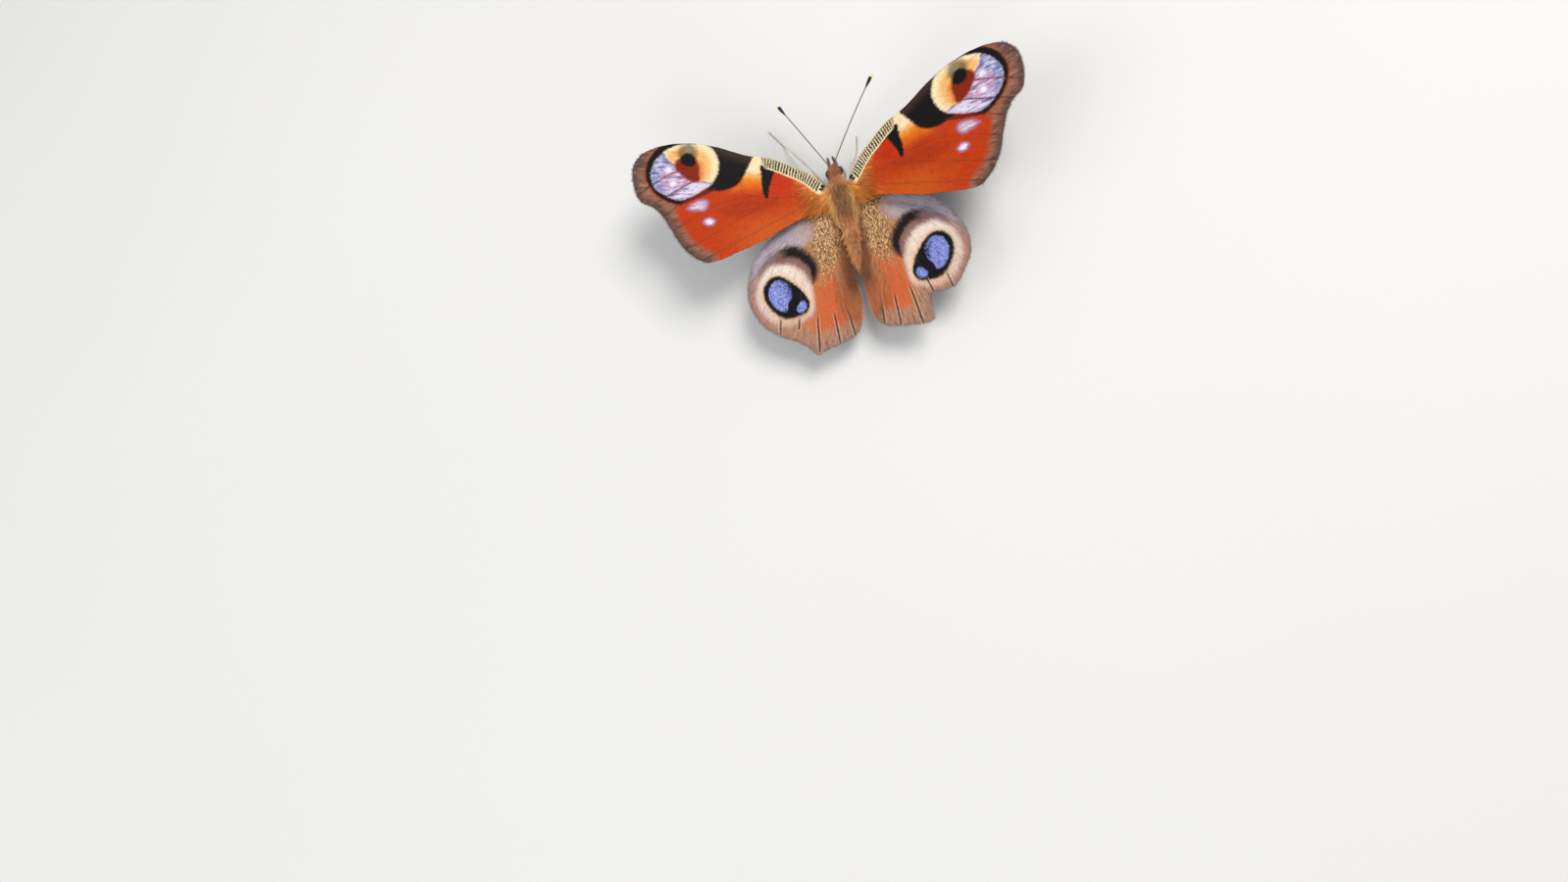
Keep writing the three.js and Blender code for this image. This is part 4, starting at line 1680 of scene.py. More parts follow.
@dataclass(frozen=True)
class WingUnder(WingFinish):
    """The dark, bark-like lower face of a wing."""

    ground: Colour = shade(58, 46, 42)
    grain_share: float = 0.5
    specular: float = 0.3
    sheen: float = 0.1
    line: Colour = shade(15, 12, 13)
    pale: Colour = shade(122, 102, 84)
    rim: Colour = shade(64, 50, 44)
    band_in: float = 2.6
    band_out: float = 6.4

    def layers(self, at: WingMap) -> list[Layer]:
        """Gives the paler band, the wavy lines and the specks.

        Args:
            at: The map of the wing.

        Returns:
            The layers, the lowest first.
        """
        band = (at.outer + at.blotch * 3.0).rises(self.band_in, self.band_in + 0.5) \
            * (at.outer + at.blotch * 4.0).falls(self.band_out - 0.8, self.band_out)
        ripples = at.tree.reach(at.u, at.v) + at.blotch * 3.2 + at.speck * 0.4
        return [
            (band * 0.6, self.pale),
            (at.front.falls(0.4, 1.6) * 0.4, self.pale),
            (at.tree.wave(ripples, 0.85).rises(0.35, 0.75) * 0.8, self.line),
            (at.speck.rises(0.08, 0.2) * 0.35, self.pale),
            ((at.outer + at.speck * 0.5).falls(0.25, 0.7) * 0.5, self.rim),
            (at.vein.falls(0.05, 0.2) * 0.5, self.line),
        ]


@dataclass(frozen=True)
class Pelt:
    """The hair and skin colours of the body, which follow the place on it."""

    golden: Colour = shade(255, 194, 104)
    tawny: Colour = shade(240, 162, 98)
    patch: Colour = shade(160, 104, 68)
    russet: Colour = shade(168, 100, 66)
    dusk: Colour = shade(186, 118, 80)
    belly: Colour = shade(112, 86, 74)
    # painted shade: darkens the hairs toward their roots and the skin under the hair
    roots: Colour = shade(196, 146, 110)
    shadow: Colour = shade(108, 66, 42)
    gleam: Colour = shade(255, 232, 176)

    def build(self, name: str, hairy: bool) -> Material:
        """Builds the finish.

        Args:
            name: The material's name.
            hairy: Whether it is for the hairs rather than for the skin below them.

        Returns:
            The material.
        """
        tree = ShaderTree(name)
        x, y, z = tree.carried("place")
        blotch = tree.noise(tree.vector(x, y, z), 0.8, 3.0) - 0.5
        paint = Paint(tree, self.tawny)
        away = tree.math("ABSOLUTE", x)
        back = (away + blotch * 0.8).falls(0.5, 1.1) * (y + blotch).rises(-2.4, -1.0) * y.falls(2.4, 3.4)
        rings = tree.wave(y + 3.7, 1.06).rises(0.62, 0.98) * y.falls(-4.2, -3.4)
        paint.layered([
            ((away + blotch * 1.2).rises(0.6, 1.2) * y.rises(-6.0, -3.5), self.golden),
            (back * 0.85, self.patch),
            ((y + blotch * 1.2).rises(3.2, 4.4) * 0.85, self.russet),
            (rings * 0.45, self.golden),
            (y.falls(-4.0, -3.0) * (away + blotch).falls(0.25, 0.7) * 0.4, self.dusk),
            ((z - y * 0.05 + blotch * 0.8).falls(2.9, 3.9), self.belly),
        ])
        if hairy:
            grain, strand = tree.grain(), tree.carried("tuft")[1]
            flank = away.rises(0.7, 1.3) * y.rises(-4.5, -2.5)
            paint.over(grain.falls(-0.9, -0.45) * 0.65, self.shadow)
            paint.over(grain.rises(0.1, 0.8) * (flank * 0.4 + 0.4), self.gleam)
            # painted shade toward the roots of the hairs
            paint.over(strand.falls(-0.5, 0.0) * 0.35, self.roots, "MULTIPLY")
            return tree.finish(paint.colour, 0.45, None, Specular_IOR_Level=0.35, Sheen_Weight=0.05,
                               Sheen_Roughness=0.35)
        # painted shade on the skin under the hair
        paint.over(0.6, self.roots, "MULTIPLY")
        normal = tree.bump(tree.noise(tree.vector(x * 5.0, y * 0.8, z * 5.0), 3.0, 3.0), 0.5, 0.00006)
        return tree.finish(paint.colour, 0.55, normal, Specular_IOR_Level=0.3)


@dataclass(frozen=True)
class EyeGloss:
    """The dark brown, facetted compound eye."""

    deep: Colour = shade(34, 20, 16)
    warm: Colour = shade(92, 56, 38)
    # painted shade for the underside of the eye
    low: Colour = shade(20, 12, 12)

    def build(self) -> Material:
        """Builds the finish of the eye and its lenses.

        Returns:
            The material.
        """
        tree = ShaderTree("eye_lens")
        x, y, z = tree.carried("place")
        spot = tree.vector(x, y, z)
        paint = Paint(tree, self.deep)
        paint.layered([(tree.noise(spot, 2.2, 2.0).rises(0.42, 0.66) * 0.7, self.warm),
                       # painted shade: darker toward the bottom of the eye
                       (z.falls(3.5, 4.1) * 0.6, self.low)])
        normal = tree.bump(tree.cells(spot, 14.0), 0.25, 0.00002)
        return tree.finish(paint.colour, tree.noise(spot, 5.0) * 0.12 + 0.16, normal, Specular_IOR_Level=0.5,
                           Coat_Weight=0.3, Coat_Roughness=0.12)


@dataclass(frozen=True)
class FeelerFinish:
    """The brown, finely banded feeler with its black club and cream tip."""

    brown: Colour = shade(74, 54, 44)
    band: Colour = shade(176, 156, 132)
    club: Colour = shade(20, 15, 14)
    tip: Colour = shade(252, 222, 160)
    segment: float = 0.34

    def build(self) -> Material:
        """Builds the finish, which reads the distance to the tip and from the root in millimetres.

        Returns:
            The material.
        """
        tree = ShaderTree("feeler")
        left, gone, turn = tree.carried("place")
        spot = tree.vector(left, turn * 2.0, 0.0)
        paint = Paint(tree, self.brown)
        paint.layered([(tree.wave(gone, self.segment).rises(0.7, 1.0) * 0.75, self.band),
                       (left.falls(1.9, 2.5), self.club),
                       ((left + tree.noise(spot, 4.0) * 0.2).falls(0.55, 0.75), self.tip)])
        normal = tree.bump(tree.noise(spot, 14.0, 3.0), 0.4, 0.00003)
        return tree.finish(paint.colour, 0.48, normal, Specular_IOR_Level=0.4)


@dataclass(frozen=True)
class LegFinish:
    """The cream leg: scaled thigh, banded shin and foot."""

    name: str
    cream: Colour = shade(240, 228, 212)
    tan: Colour = shade(196, 164, 132)
    dark: Colour = shade(120, 94, 78)

    def build(self) -> Material:
        """Builds the finish, which reads how far along the leg a point is, in joints.

        Returns:
            The material.
        """
        tree = ShaderTree(self.name)
        joint, turn, gone = tree.carried("place")
        spot = tree.vector(gone * 1.0, turn * 3.0, joint)
        blotch = tree.noise(spot, 3.0, 3.0)
        paint = Paint(tree, self.cream)
        paint.layered([((joint + blotch * 0.6).falls(0.7, 1.4) * 0.8, self.tan),
                       (blotch.rises(0.5, 0.7) * 0.5, self.tan),
                       (tree.cells(spot, 9.0).falls(0.1, 0.4) * 0.35, self.dark),
                       ((joint - 2.0).rises(0.0, 0.9) * 0.25, self.tan)])
        paint.grained(tree.grain(), 0.5)
        normal = tree.bump(tree.cells(spot, 11.0), 0.5, 0.00003)
        return tree.finish(paint.colour, 0.55, normal, Specular_IOR_Level=0.35)


@dataclass(frozen=True)
class TongueFinish:
    """The amber, ringed tongue."""

    amber: Colour = shade(112, 66, 34)
    dark: Colour = shade(46, 28, 20)
    ring: float = 0.09

    def build(self) -> Material:
        """Builds the finish, which reads how far along the coil a point is.

        Returns:
            The material.
        """
        tree = ShaderTree("tongue")
        rings = tree.wave(tree.carried("place")[0], self.ring)
        colour = tree.mix(rings.rises(0.3, 0.8) * 0.6, self.amber, self.dark)
        return tree.finish(colour, 0.34, tree.bump(rings, 0.4, 0.00002), Specular_IOR_Level=0.5)


FORE_OUTLINE = (
    (-0.6, 0.3), (0.2, 1.9), (2.2, 4.0), (4.9, 5.8), (7.8, 7.5), (11.2, 8.5), (16.4, 11.1), (20.2, 12.3),
    (24.2, 12.7), (27.4, 12.1), (29.2, 10.2), (29.6, 7.4), (29.0, 4.5), (27.2, 3.1), (26.0, 1.5),
    (25.1, -0.7), (24.0, -3.6), (22.5, -5.8), (20.5, -7.4), (18.6, -7.4), (15.2, -6.6), (11.1, -5.5),
    (7.8, -4.2), (4.4, -3.0), (1.2, -2.4), (-0.5, -2.0))
FORE_VEINS = (((0.5, 1.2), (5.0, 4.0), (9.0, 5.2), (12.5, 5.6)),
              ((0.5, 0.3), (5.0, 0.6), (9.0, 1.2), (12.5, 2.2)),
              ((12.5, 5.6), (13.3, 4.2), (12.8, 2.3)),
              ((0.3, 1.8), (4.0, 4.6), (8.0, 6.9), (12.0, 8.3), (15.5, 10.2)),
              ((9.0, 5.2), (13.0, 7.4), (17.5, 10.6), (19.5, 12.1)),
              ((11.5, 5.6), (16.0, 8.4), (20.0, 11.0), (22.5, 12.5)),
              ((12.5, 5.6), (17.0, 7.8), (21.0, 9.8), (24.8, 12.5)),
              ((20.0, 9.2), (25.0, 10.0), (29.0, 10.2)),
              ((12.8, 5.4), (17.0, 7.5), (21.5, 8.2), (26.8, 6.6), (29.2, 5.4)),
              ((13.2, 4.4), (16.5, 5.9), (19.5, 6.0), (24.5, 4.4), (27.5, 3.3)),
              ((12.9, 2.8), (16.5, 3.9), (19.5, 3.6), (22.3, 2.8), (25.8, 1.3)),
              ((11.5, 1.8), (16.0, 1.6), (20.0, 0.5), (24.8, -1.4)),
              ((7.5, 0.9), (12.0, -0.6), (18.0, -2.9), (23.3, -4.7)),
              ((0.6, -0.4), (6.0, -1.9), (12.0, -4.0), (18.0, -6.0), (21.2, -6.9)))
HIND_FRONT = (
    (-0.6, 1.0), (0.4, 2.0), (2.0, 2.2), (4.5, 1.5), (8.0, 0.1), (10.8, -1.3), (13.3, -3.7), (14.9, -6.3),
    (15.8, -9.6), (15.4, -12.3))
HIND_TAIL = (
    (14.4, -14.3), (12.2, -16.6), (9.4, -18.2), (7.7, -19.7), (6.7, -20.9), (5.6, -20.5))
HIND_TORN = (
    (14.3, -13.9), (12.3, -16.1), (10.4, -16.4), (8.6, -16.2), (8.1, -18.4), (8.0, -20.4))
HIND_INNER = (
    (4.0, -20.1), (2.0, -19.7), (0.3, -19.1), (-0.7, -17.8), (-1.05, -15.4), (-1.1, -12.5), (-0.95, -9.0),
    (-0.85, -5.0), (-0.7, -1.5))
HIND_VEINS = (((0.5, 0.6), (4.0, 0.8), (9.0, -0.9), (13.0, -4.2), (15.1, -7.4)),
              ((1.0, 0.0), (4.0, -0.9), (8.0, -3.0), (12.5, -6.8), (15.5, -10.5)),
              ((4.0, -0.9), (7.5, -4.3), (11.0, -8.5), (14.8, -13.2)),
              ((4.2, -2.2), (7.0, -6.0), (10.5, -11.0), (11.9, -16.2)),
              ((4.2, -4.2), (6.6, -8.0), (8.3, -14.0), (8.9, -16.1)),
              ((4.0, -5.5), (5.5, -14.0), (6.4, -20.4)),
              ((3.0, -4.3), (3.0, -19.7)),
              ((0.6, -1.5), (1.2, -8.0), (0.9, -14.0), (0.5, -18.9)))


@dataclass
class WingPlumage:
    """Dresses one wing: skin, veins, scales above and below, hairs and fringe."""

    wing: Wing
    top: Material
    under: Material
    coat: CoatTree
    seed: int
    hair_zone: Callable[[Array], Array]
    hair_count: int
    hair_length: Spot
    hair_fan: Spot
    fringe_length: float = 0.5
    scale_size: Place = (0.17, 0.27, 0.035)
    fineness: float = 0.62

    def fine_zone(self, plan: Array) -> Array:
        """Tells where the scales are finer: in the barred band of a forewing's leading edge.

        Args:
            plan: Points of the plan.

        Returns:
            Whether each point lies in the band.
        """
        if self.wing.fold_from is not None:
            return np.zeros(len(plan), bool)
        front = self.wing.places(plan)[1][:, 0]
        return (front < 1.9) & (plan[:, 0] < 9.8)

    def hair_seats(self) -> Seats:
        """Scatters the long hairs over the root and inner edge of the wing.

        Returns:
            The seats.
        """
        wing = self.wing
        rng = np.random.default_rng(self.seed + 3)
        plan = rng.uniform(wing.margin.min(0), wing.margin.max(0), (self.hair_count * 60, 2))
        plan = plan[wing.inside(plan)]
        plan = plan[rng.random(len(plan)) < self.hair_zone(plan)][:self.hair_count]
        lay = unit(plan - np.array(self.hair_fan) + rng.normal(0.0, 0.6, plan.shape))
        size = tuft_sizes(rng, len(plan), self.hair_length, 0.042, 0.03)
        return wing.seats_at(plan, size, wing.skin_thickness / 2, lay=lay)

    def build(self) -> None:
        """Builds every piece of the wing and sets it on the body."""
        wing, seed = self.wing, self.seed
        slot = wing.name.split("_")[0]
        for label, shape, *nodes in (("skin", wing.skin(), wing.name), ("veins", wing.vein_tubes())):
            settle(shape.build(f"{wing.name}_{label}", self.top, self.under), slot, *nodes)
        size, raised = np.array(self.scale_size), wing.skin_thickness / 2
        coarse, fine = wing.scale_rows(seed), wing.scale_rows(seed + 5, self.fineness)
        above = wing.seats_at(coarse[~self.fine_zone(coarse)], size, raised)
        above = above.joined(wing.seats_at(fine[self.fine_zone(fine)], size * self.fineness, raised))
        below = wing.seats_at(wing.scale_rows(seed + 1), size, raised, under=True)
        fringe = wing.fringe_seats(seed + 2, self.fringe_length)
        coats = (("scales", above, Template.SCALE, self.top, 0.12, 0.12),
                 ("under_scales", below, Template.SCALE, self.under, 0.12, 0.12),
                 ("fringe", fringe, Template.HAIR, self.top, 0.0, 0.1),
                 ("hairs", self.hair_seats(), Template.HAIR, self.top, 0.1, 0.12))
        for k, (label, seats, kind, finish, lift, stray) in enumerate(coats):
            settle(self.coat.grow(f"{wing.name}_{label}", seats, kind, finish, seed + k, lift, stray), slot)


@dataclass(frozen=True)
class HairCoat:
    """One of the body's coats of hair."""

    name: str
    count: int
    seed: int
    lift: float
    stray: float
    growth: Growth
    slot: str = "body_hair"


def lie(outward: Array, ahead: float, rise: float) -> Array:
    """Joins how far hair points away from the middle line, forward and up."""
    return np.column_stack([outward, np.full(len(outward), ahead), np.full(len(outward), rise)])


@dataclass
class Trunk:
    """Head, thorax and abdomen under one skin, with their coats of hair."""

    coat: CoatTree
    stations: tuple[tuple[float, float, float, float], ...] = (
        (6.12, 4.12, 0.10, 0.10), (6.06, 4.12, 0.34, 0.34), (5.85, 4.13, 0.62, 0.60), (5.4, 4.15, 0.88, 0.84),
        (4.9, 4.16, 0.98, 0.93), (4.4, 4.14, 0.90, 0.84), (4.0, 4.10, 0.72, 0.68), (3.6, 4.05, 0.82, 0.78),
        (3.1, 4.0, 1.16, 1.12), (2.2, 3.97, 1.56, 1.52), (0.8, 3.95, 1.82, 1.76), (-0.8, 3.94, 1.78, 1.70),
        (-2.0, 3.90, 1.48, 1.42), (-2.9, 3.84, 1.20, 1.16), (-3.5, 3.80, 1.07, 1.05), (-4.3, 3.70, 1.06, 1.06),
        (-5.6, 3.52, 1.08, 1.09), (-7.0, 3.31, 1.06, 1.06), (-8.4, 3.10, 0.95, 0.95), (-9.5, 2.94, 0.78, 0.79),
        (-10.3, 2.82, 0.55, 0.56), (-10.8, 2.75, 0.30, 0.30), (-10.95, 2.73, 0.10, 0.10))
    ring_count: int = 220
    sides: int = 72
    bend: float = -0.55
    bend_from: float = -3.55
    bend_to: float = -11.1
    segment: float = 1.06
    groove: float = 0.07
    seed: int = 11

    def skin(self) -> GridSkin:
        """Builds the skin from front to back.

        Returns:
            The skin.
        """
        line = evenly(flowing(self.stations, 400), self.ring_count)
        y, z, width, height = line.T
        tail = np.clip((self.bend_from - y) / (self.bend_from - self.bend_to), 0.0, 1.0)
        belt = np.abs(((self.bend_from - y) / self.segment) % 1.0 - 0.5) * 2.0
        pinch = self.groove * smooth_step(0.72, 1.0, belt) * smooth_step(0.0, 0.05, tail)
        path = np.column_stack([self.bend * tail, y, z])
        return GridSkin.along(path, width * (1 - pinch), height * (1 - pinch), self.sides)

    @staticmethod
    def coats() -> tuple[HairCoat, ...]:
        """Gives the coats in the order in which their hairs are drawn.

        Returns:
            The coats.
        """
        def swept(points: Array) -> Array:
            """Lays hair toward the tail, a little away from the middle line."""
            return lie(points[:, 0] * (0.08 + 0.24 * smooth_step(-7.0, -3.0, points[:, 1])), -1.0, 0.08)

        def coat(name: str, count: int, seed: int, lift: float, stray: float, way: Callable[[Array], Array],
                 wander: float, length: Spot, width: float, **rules: Callable[[Array], Array]) -> HairCoat:
            """Joins a coat's numbers, its hairs a little flatter than they are wide."""
            growth = Growth(way, wander, length, width, width * 0.8, **rules)
            return HairCoat(name, count, seed, lift, stray, growth)
        head = coat("head_hair", 2000, 23, 0.35, 0.25, lambda p: lie(0.3 * p[:, 0], 1.0, 0.1), 0.22,
                    (0.3, 0.62), 0.04, crowd=lambda p: smooth_step(3.6, 3.9, p[:, 1]))
        return (
            coat("thorax_hair", 8200, 21, 0.22, 0.24, swept, 0.12, (1.1, 2.2), 0.062,
                 crowd=lambda p: smooth_step(-3.6, -3.0, p[:, 1]) * smooth_step(4.2, 3.7, p[:, 1])
                 * (0.5 + smooth_step(2.6, 3.6, p[:, 2]))),
            coat("shoulder_hair", 2600, 24, 0.3, 0.22, lambda p: lie(np.sign(p[:, 0]) * 0.75, -1.0, 0.2), 0.25,
                 (1.3, 2.3), 0.06,
                 crowd=lambda p: smooth_step(0.8, 1.3, np.abs(p[:, 0])) * smooth_step(4.1, 4.6, p[:, 2])
                 * smooth_step(-3.2, -2.4, p[:, 1]) * smooth_step(3.2, 2.4, p[:, 1])),
            coat("abdomen_hair", 7000, 22, 0.08, 0.12, swept, 0.12, (0.7, 1.3), 0.055,
                 more=lambda p: 0.9 * smooth_step(-7.5, -3.6, p[:, 1]),
                 crowd=lambda p: smooth_step(-2.9, -3.6, p[:, 1]) * (0.35 + smooth_step(2.4, 3.6, p[:, 2]))),
            coat("collar_hair", 1100, 25, 0.3, 0.24, lambda p: lie(np.sign(p[:, 0]) * 0.45, 1.0, 0.3), 0.2,
                 (0.7, 1.25), 0.05,
                 crowd=lambda p: smooth_step(2.0, 2.8, p[:, 1]) * smooth_step(4.0, 3.7, p[:, 1])
                 * (0.2 + smooth_step(2.8, 3.8, p[:, 2]))),
            replace(head, slot="face_hair"),
        )

    def build(self) -> None:
        """Builds the skin and its coats."""
        skin = self.skin()
        bare = Pelt().build("body_skin", hairy=False)
        hair = Pelt().build("body_hair", hairy=True)
        settle(skin.shape().build("body_skin", bare), "body_hair", "thorax", "abdomen", "head")
        rng = np.random.default_rng(self.seed)
        for coat in self.coats():
            seats = skin.seats(rng, coat.count, coat.growth)
            grown = self.coat.grow(coat.name, seats, Template.HAIR, hair, coat.seed, coat.lift, coat.stray)
            settle(grown, coat.slot)


@dataclass
class Face:
    """Eyes, palps, feelers, tongue and folded forelegs."""

    coat: CoatTree
    eye_middle: Place = (0.86, 5.1, 4.1)
    eye_size: Place = (0.6, 0.68, 0.68)
    facets: int = 900
    palp_root: Place = (0.6, 5.95, 3.35)
    palp_tip: Place = (0.4, 7.5, 4.42)
    feeler_root: Place = (0.5, 5.7, 4.85)
    feeler_solid_root: Place = (0.5, 6.15, 5.15)
    feeler_tips: tuple[Place, Place] = ((-5.68, 18.34, 5.8), (10.22, 16.46, 7.9))
    feeler_rise: float = 0.5
    club_length: float = 2.1
    coil_middle: Spot = (6.55, 2.75)
    coil_radius: float = 0.5
    coil_turns: float = 2.6
    foreleg: tuple[Place, Place, Place] = ((0.9, 3.3, 2.1), (1.35, 5.0, 2.1), (1.15, 6.2, 2.45))

    def build(self) -> None:
        """Builds every part of the face on both sides."""
        hair, bare = (bpy.data.materials[name] for name in ("body_hair", "body_skin"))
        lens, feeler, leg = EyeGloss().build(), FeelerFinish().build(), LegFinish("foreleg").build()
        for label, side in (("left", -1), ("right", 1)):
            self.eye(f"eye_{label}", side, lens)
            self.palp(f"palp_{label}", side, bare, hair)
            self.feeler(f"antenna_{label}", side, feeler)
            self.front_leg(f"foreleg_{label}", side, leg)
        self.tongue()

    @staticmethod
    def _beside(places: Sequence, side: int) -> Array:
        """Sets places of the right side on the side that is wanted."""
        return np.array(places) * np.array([side, 1, 1])

    def eye(self, name: str, side: int, lens: Material) -> None:
        """Builds one eye and sets its lenses on it.

        Args:
            name: The name of the solid and its pieces.
            side: -1 for the left side and 1 for the right.
            lens: The finish of the eye.
        """
        middle, size = self._beside(self.eye_middle, side), np.array(self.eye_size)
        turns = np.linspace(0.02, math.pi - 0.02, 24)
        path = np.column_stack([np.zeros(24), -np.cos(turns) * size[1], np.zeros(24)]) + middle
        ball = GridSkin.along(path, np.sin(turns) * size[0], np.sin(turns) * size[2], 36)
        settle(ball.shape().build(name + "_globe", lens), "eye", name)
        k = np.arange(self.facets) + 0.5
        height = 1 - 2 * k / self.facets
        spin = math.pi * (1 + 5 ** 0.5) * k
        flat = np.sqrt(1 - height**2)
        normal = np.column_stack([height * side, flat * np.cos(spin), flat * np.sin(spin)])
        normal = normal[normal[:, 0] * side > -0.25]
        points = middle + normal * size
        up = unit(normal / size)
        lay = unit(np.cross(up, [0.0, 0.2, 1.0]))
        bake = np.column_stack([np.arctan2(normal[:, 2], normal[:, 1]) / TURN + 0.5,
                                0.5 + 0.48 * normal[:, 0]])
        seats = Seats(points - up * 0.008, lay, up, np.full(points.shape, 0.082), points, 0.01 + 0.98 * bake)
        settle(self.coat.grow(name + "_lenses", seats, Template.LENS, lens, 31), "eye")

    def _brushed(self, name: str, slot: str, skin: GridSkin, finishes: tuple[Material, Material], coat: str,
                 count: int, seed: int, lift: float, growth: Growth) -> None:
        """Builds a core with the tufts on it.

        Args:
            name: The solid that it stands for.
            slot: The material slot of both pieces.
            skin: The core's skin.
            finishes: The core's finish and the tufts'.
            coat: What the coat is called.
            count: How many tufts there are.
            seed: The fixed seed of their places.
            lift: How far they tilt up, in radians.
            growth: How they grow.
        """
        settle(skin.shape().build(name + "_core", finishes[0]), slot, name)
        seats = skin.seats(np.random.default_rng(seed), count, growth)
        settle(self.coat.grow(f"{name}_{coat}", seats, Template.HAIR, finishes[1], seed + 1, lift, 0.2), slot)

    def palp(self, name: str, side: int, bare: Material, hair: Material) -> None:
        """Builds one palp with its bristly scales.

        Args:
            name: The name of the solid and its pieces.
            side: -1 for the left side and 1 for the right.
            bare: The finish of the core.
            hair: The finish of the hairs.
        """
        root, tip = self._beside([self.palp_root, self.palp_tip], side)
        path = flowing([root, (root + tip) / 2 + np.array([0.0, 0.2, -0.2]), tip], 26)
        share = np.linspace(0.0, 1.0, 26)
        girth = 0.17 * (1 - 0.75 * share**2) * np.minimum(1.0, 0.3 + 4 * (1 - share))
        growth = Growth(lambda points: unit(tip - root), 0.15, (0.25, 0.5), 0.05, 0.03)
        skin = GridSkin.along(path, girth, girth, 14)
        self._brushed(name, "face_hair", skin, (bare, hair), "hair", 620, 41 + side, 0.22, growth)

    def feeler(self, name: str, side: int, finish: Material) -> None:
        """Builds one feeler: a ringed shaft that swells into a club.

        Args:
            name: The name of the solid and its pieces.
            side: -1 for the left side and 1 for the right.
            finish: The finish.
        """
        start, root = self._beside([self.feeler_root, self.feeler_solid_root], side)
        tip = np.array(self.feeler_tips[0 if side < 0 else 1])
        share = np.linspace(0.0, 1.0, 330)
        line = root + share[:, None] * (tip - root)
        line[:, 2] += self.feeler_rise * np.sin(np.pi * share)
        path = np.concatenate([start + np.linspace(0.0, 1.0, 10)[:-1, None] * (root - start), line])
        gone = lengths_along(path)
        left = gone[-1] - gone
        swell = smooth_step(self.club_length + 0.5, 0.9, left)
        ringed = 0.012 * np.sin(gone * TURN / FeelerFinish.segment) * (1 - 0.5 * swell)
        end = np.sqrt(np.clip(1 - (1 - np.minimum(left / 0.3, 1.0)) ** 2, 0.02, 1.0))
        radius = (0.085 + 0.185 * swell + ringed) * end
        place = np.column_stack([left, gone, np.zeros(len(left))])
        skin = GridSkin.along(path, radius, radius * 0.9, 18, place)
        settle(skin.shape().build(name + "_shaft", finish), "feeler", name)

    def tongue(self) -> None:
        """Builds the coiled tongue."""
        turns = np.linspace(0.0, self.coil_turns * TURN, 260)
        radius = self.coil_radius * (1 - 0.8 * turns / turns[-1])
        angle = math.pi * 0.5 - turns
        path = np.column_stack([0.06 * np.sin(turns * 0.5), self.coil_middle[0] + radius * np.cos(angle),
                                self.coil_middle[1] + radius * np.sin(angle)])
        lead = flowing([(0.0, 5.75, 3.55), (0.0, 6.15, 3.42), path[0]], 16)[:-1]
        path = np.concatenate([lead, path])
        gone = lengths_along(path)
        girth = 0.095 - 0.045 * gone / gone[-1]
        place = np.column_stack([gone, np.zeros(len(gone)), np.zeros(len(gone))])
        skin = GridSkin.along(path, girth, girth, 14, place)
        settle(skin.shape().build("tongue_coil", TongueFinish().build()), "tongue", "proboscis")

    def front_leg(self, name: str, side: int, finish: Material) -> None:
        """Builds one short brush-like front leg with its hair.

        Args:
            name: The name of the solid and its pieces.
            side: -1 for the left side and 1 for the right.
            finish: The finish.
        """
        path = flowing(self._beside(self.foreleg, side), 40)
        share = np.linspace(0.0, 1.0, 40)
        girth = 0.12 * (1 - 0.5 * share) * np.sqrt(np.clip(1 - share**8, 0.02, 1.0))
        place = np.column_stack([1.2 + share, np.zeros(40), share * 3.0])
        growth = Growth(lambda points: np.array([0.0, 1.0, 0.15]), 0.2, (0.25, 0.5), 0.035, 0.03)
        skin = GridSkin.along(path, girth, girth, 14, place)
        self._brushed(name, "foreleg", skin, (finish, finish), "brush", 420, 51 + side, 0.3, growth)


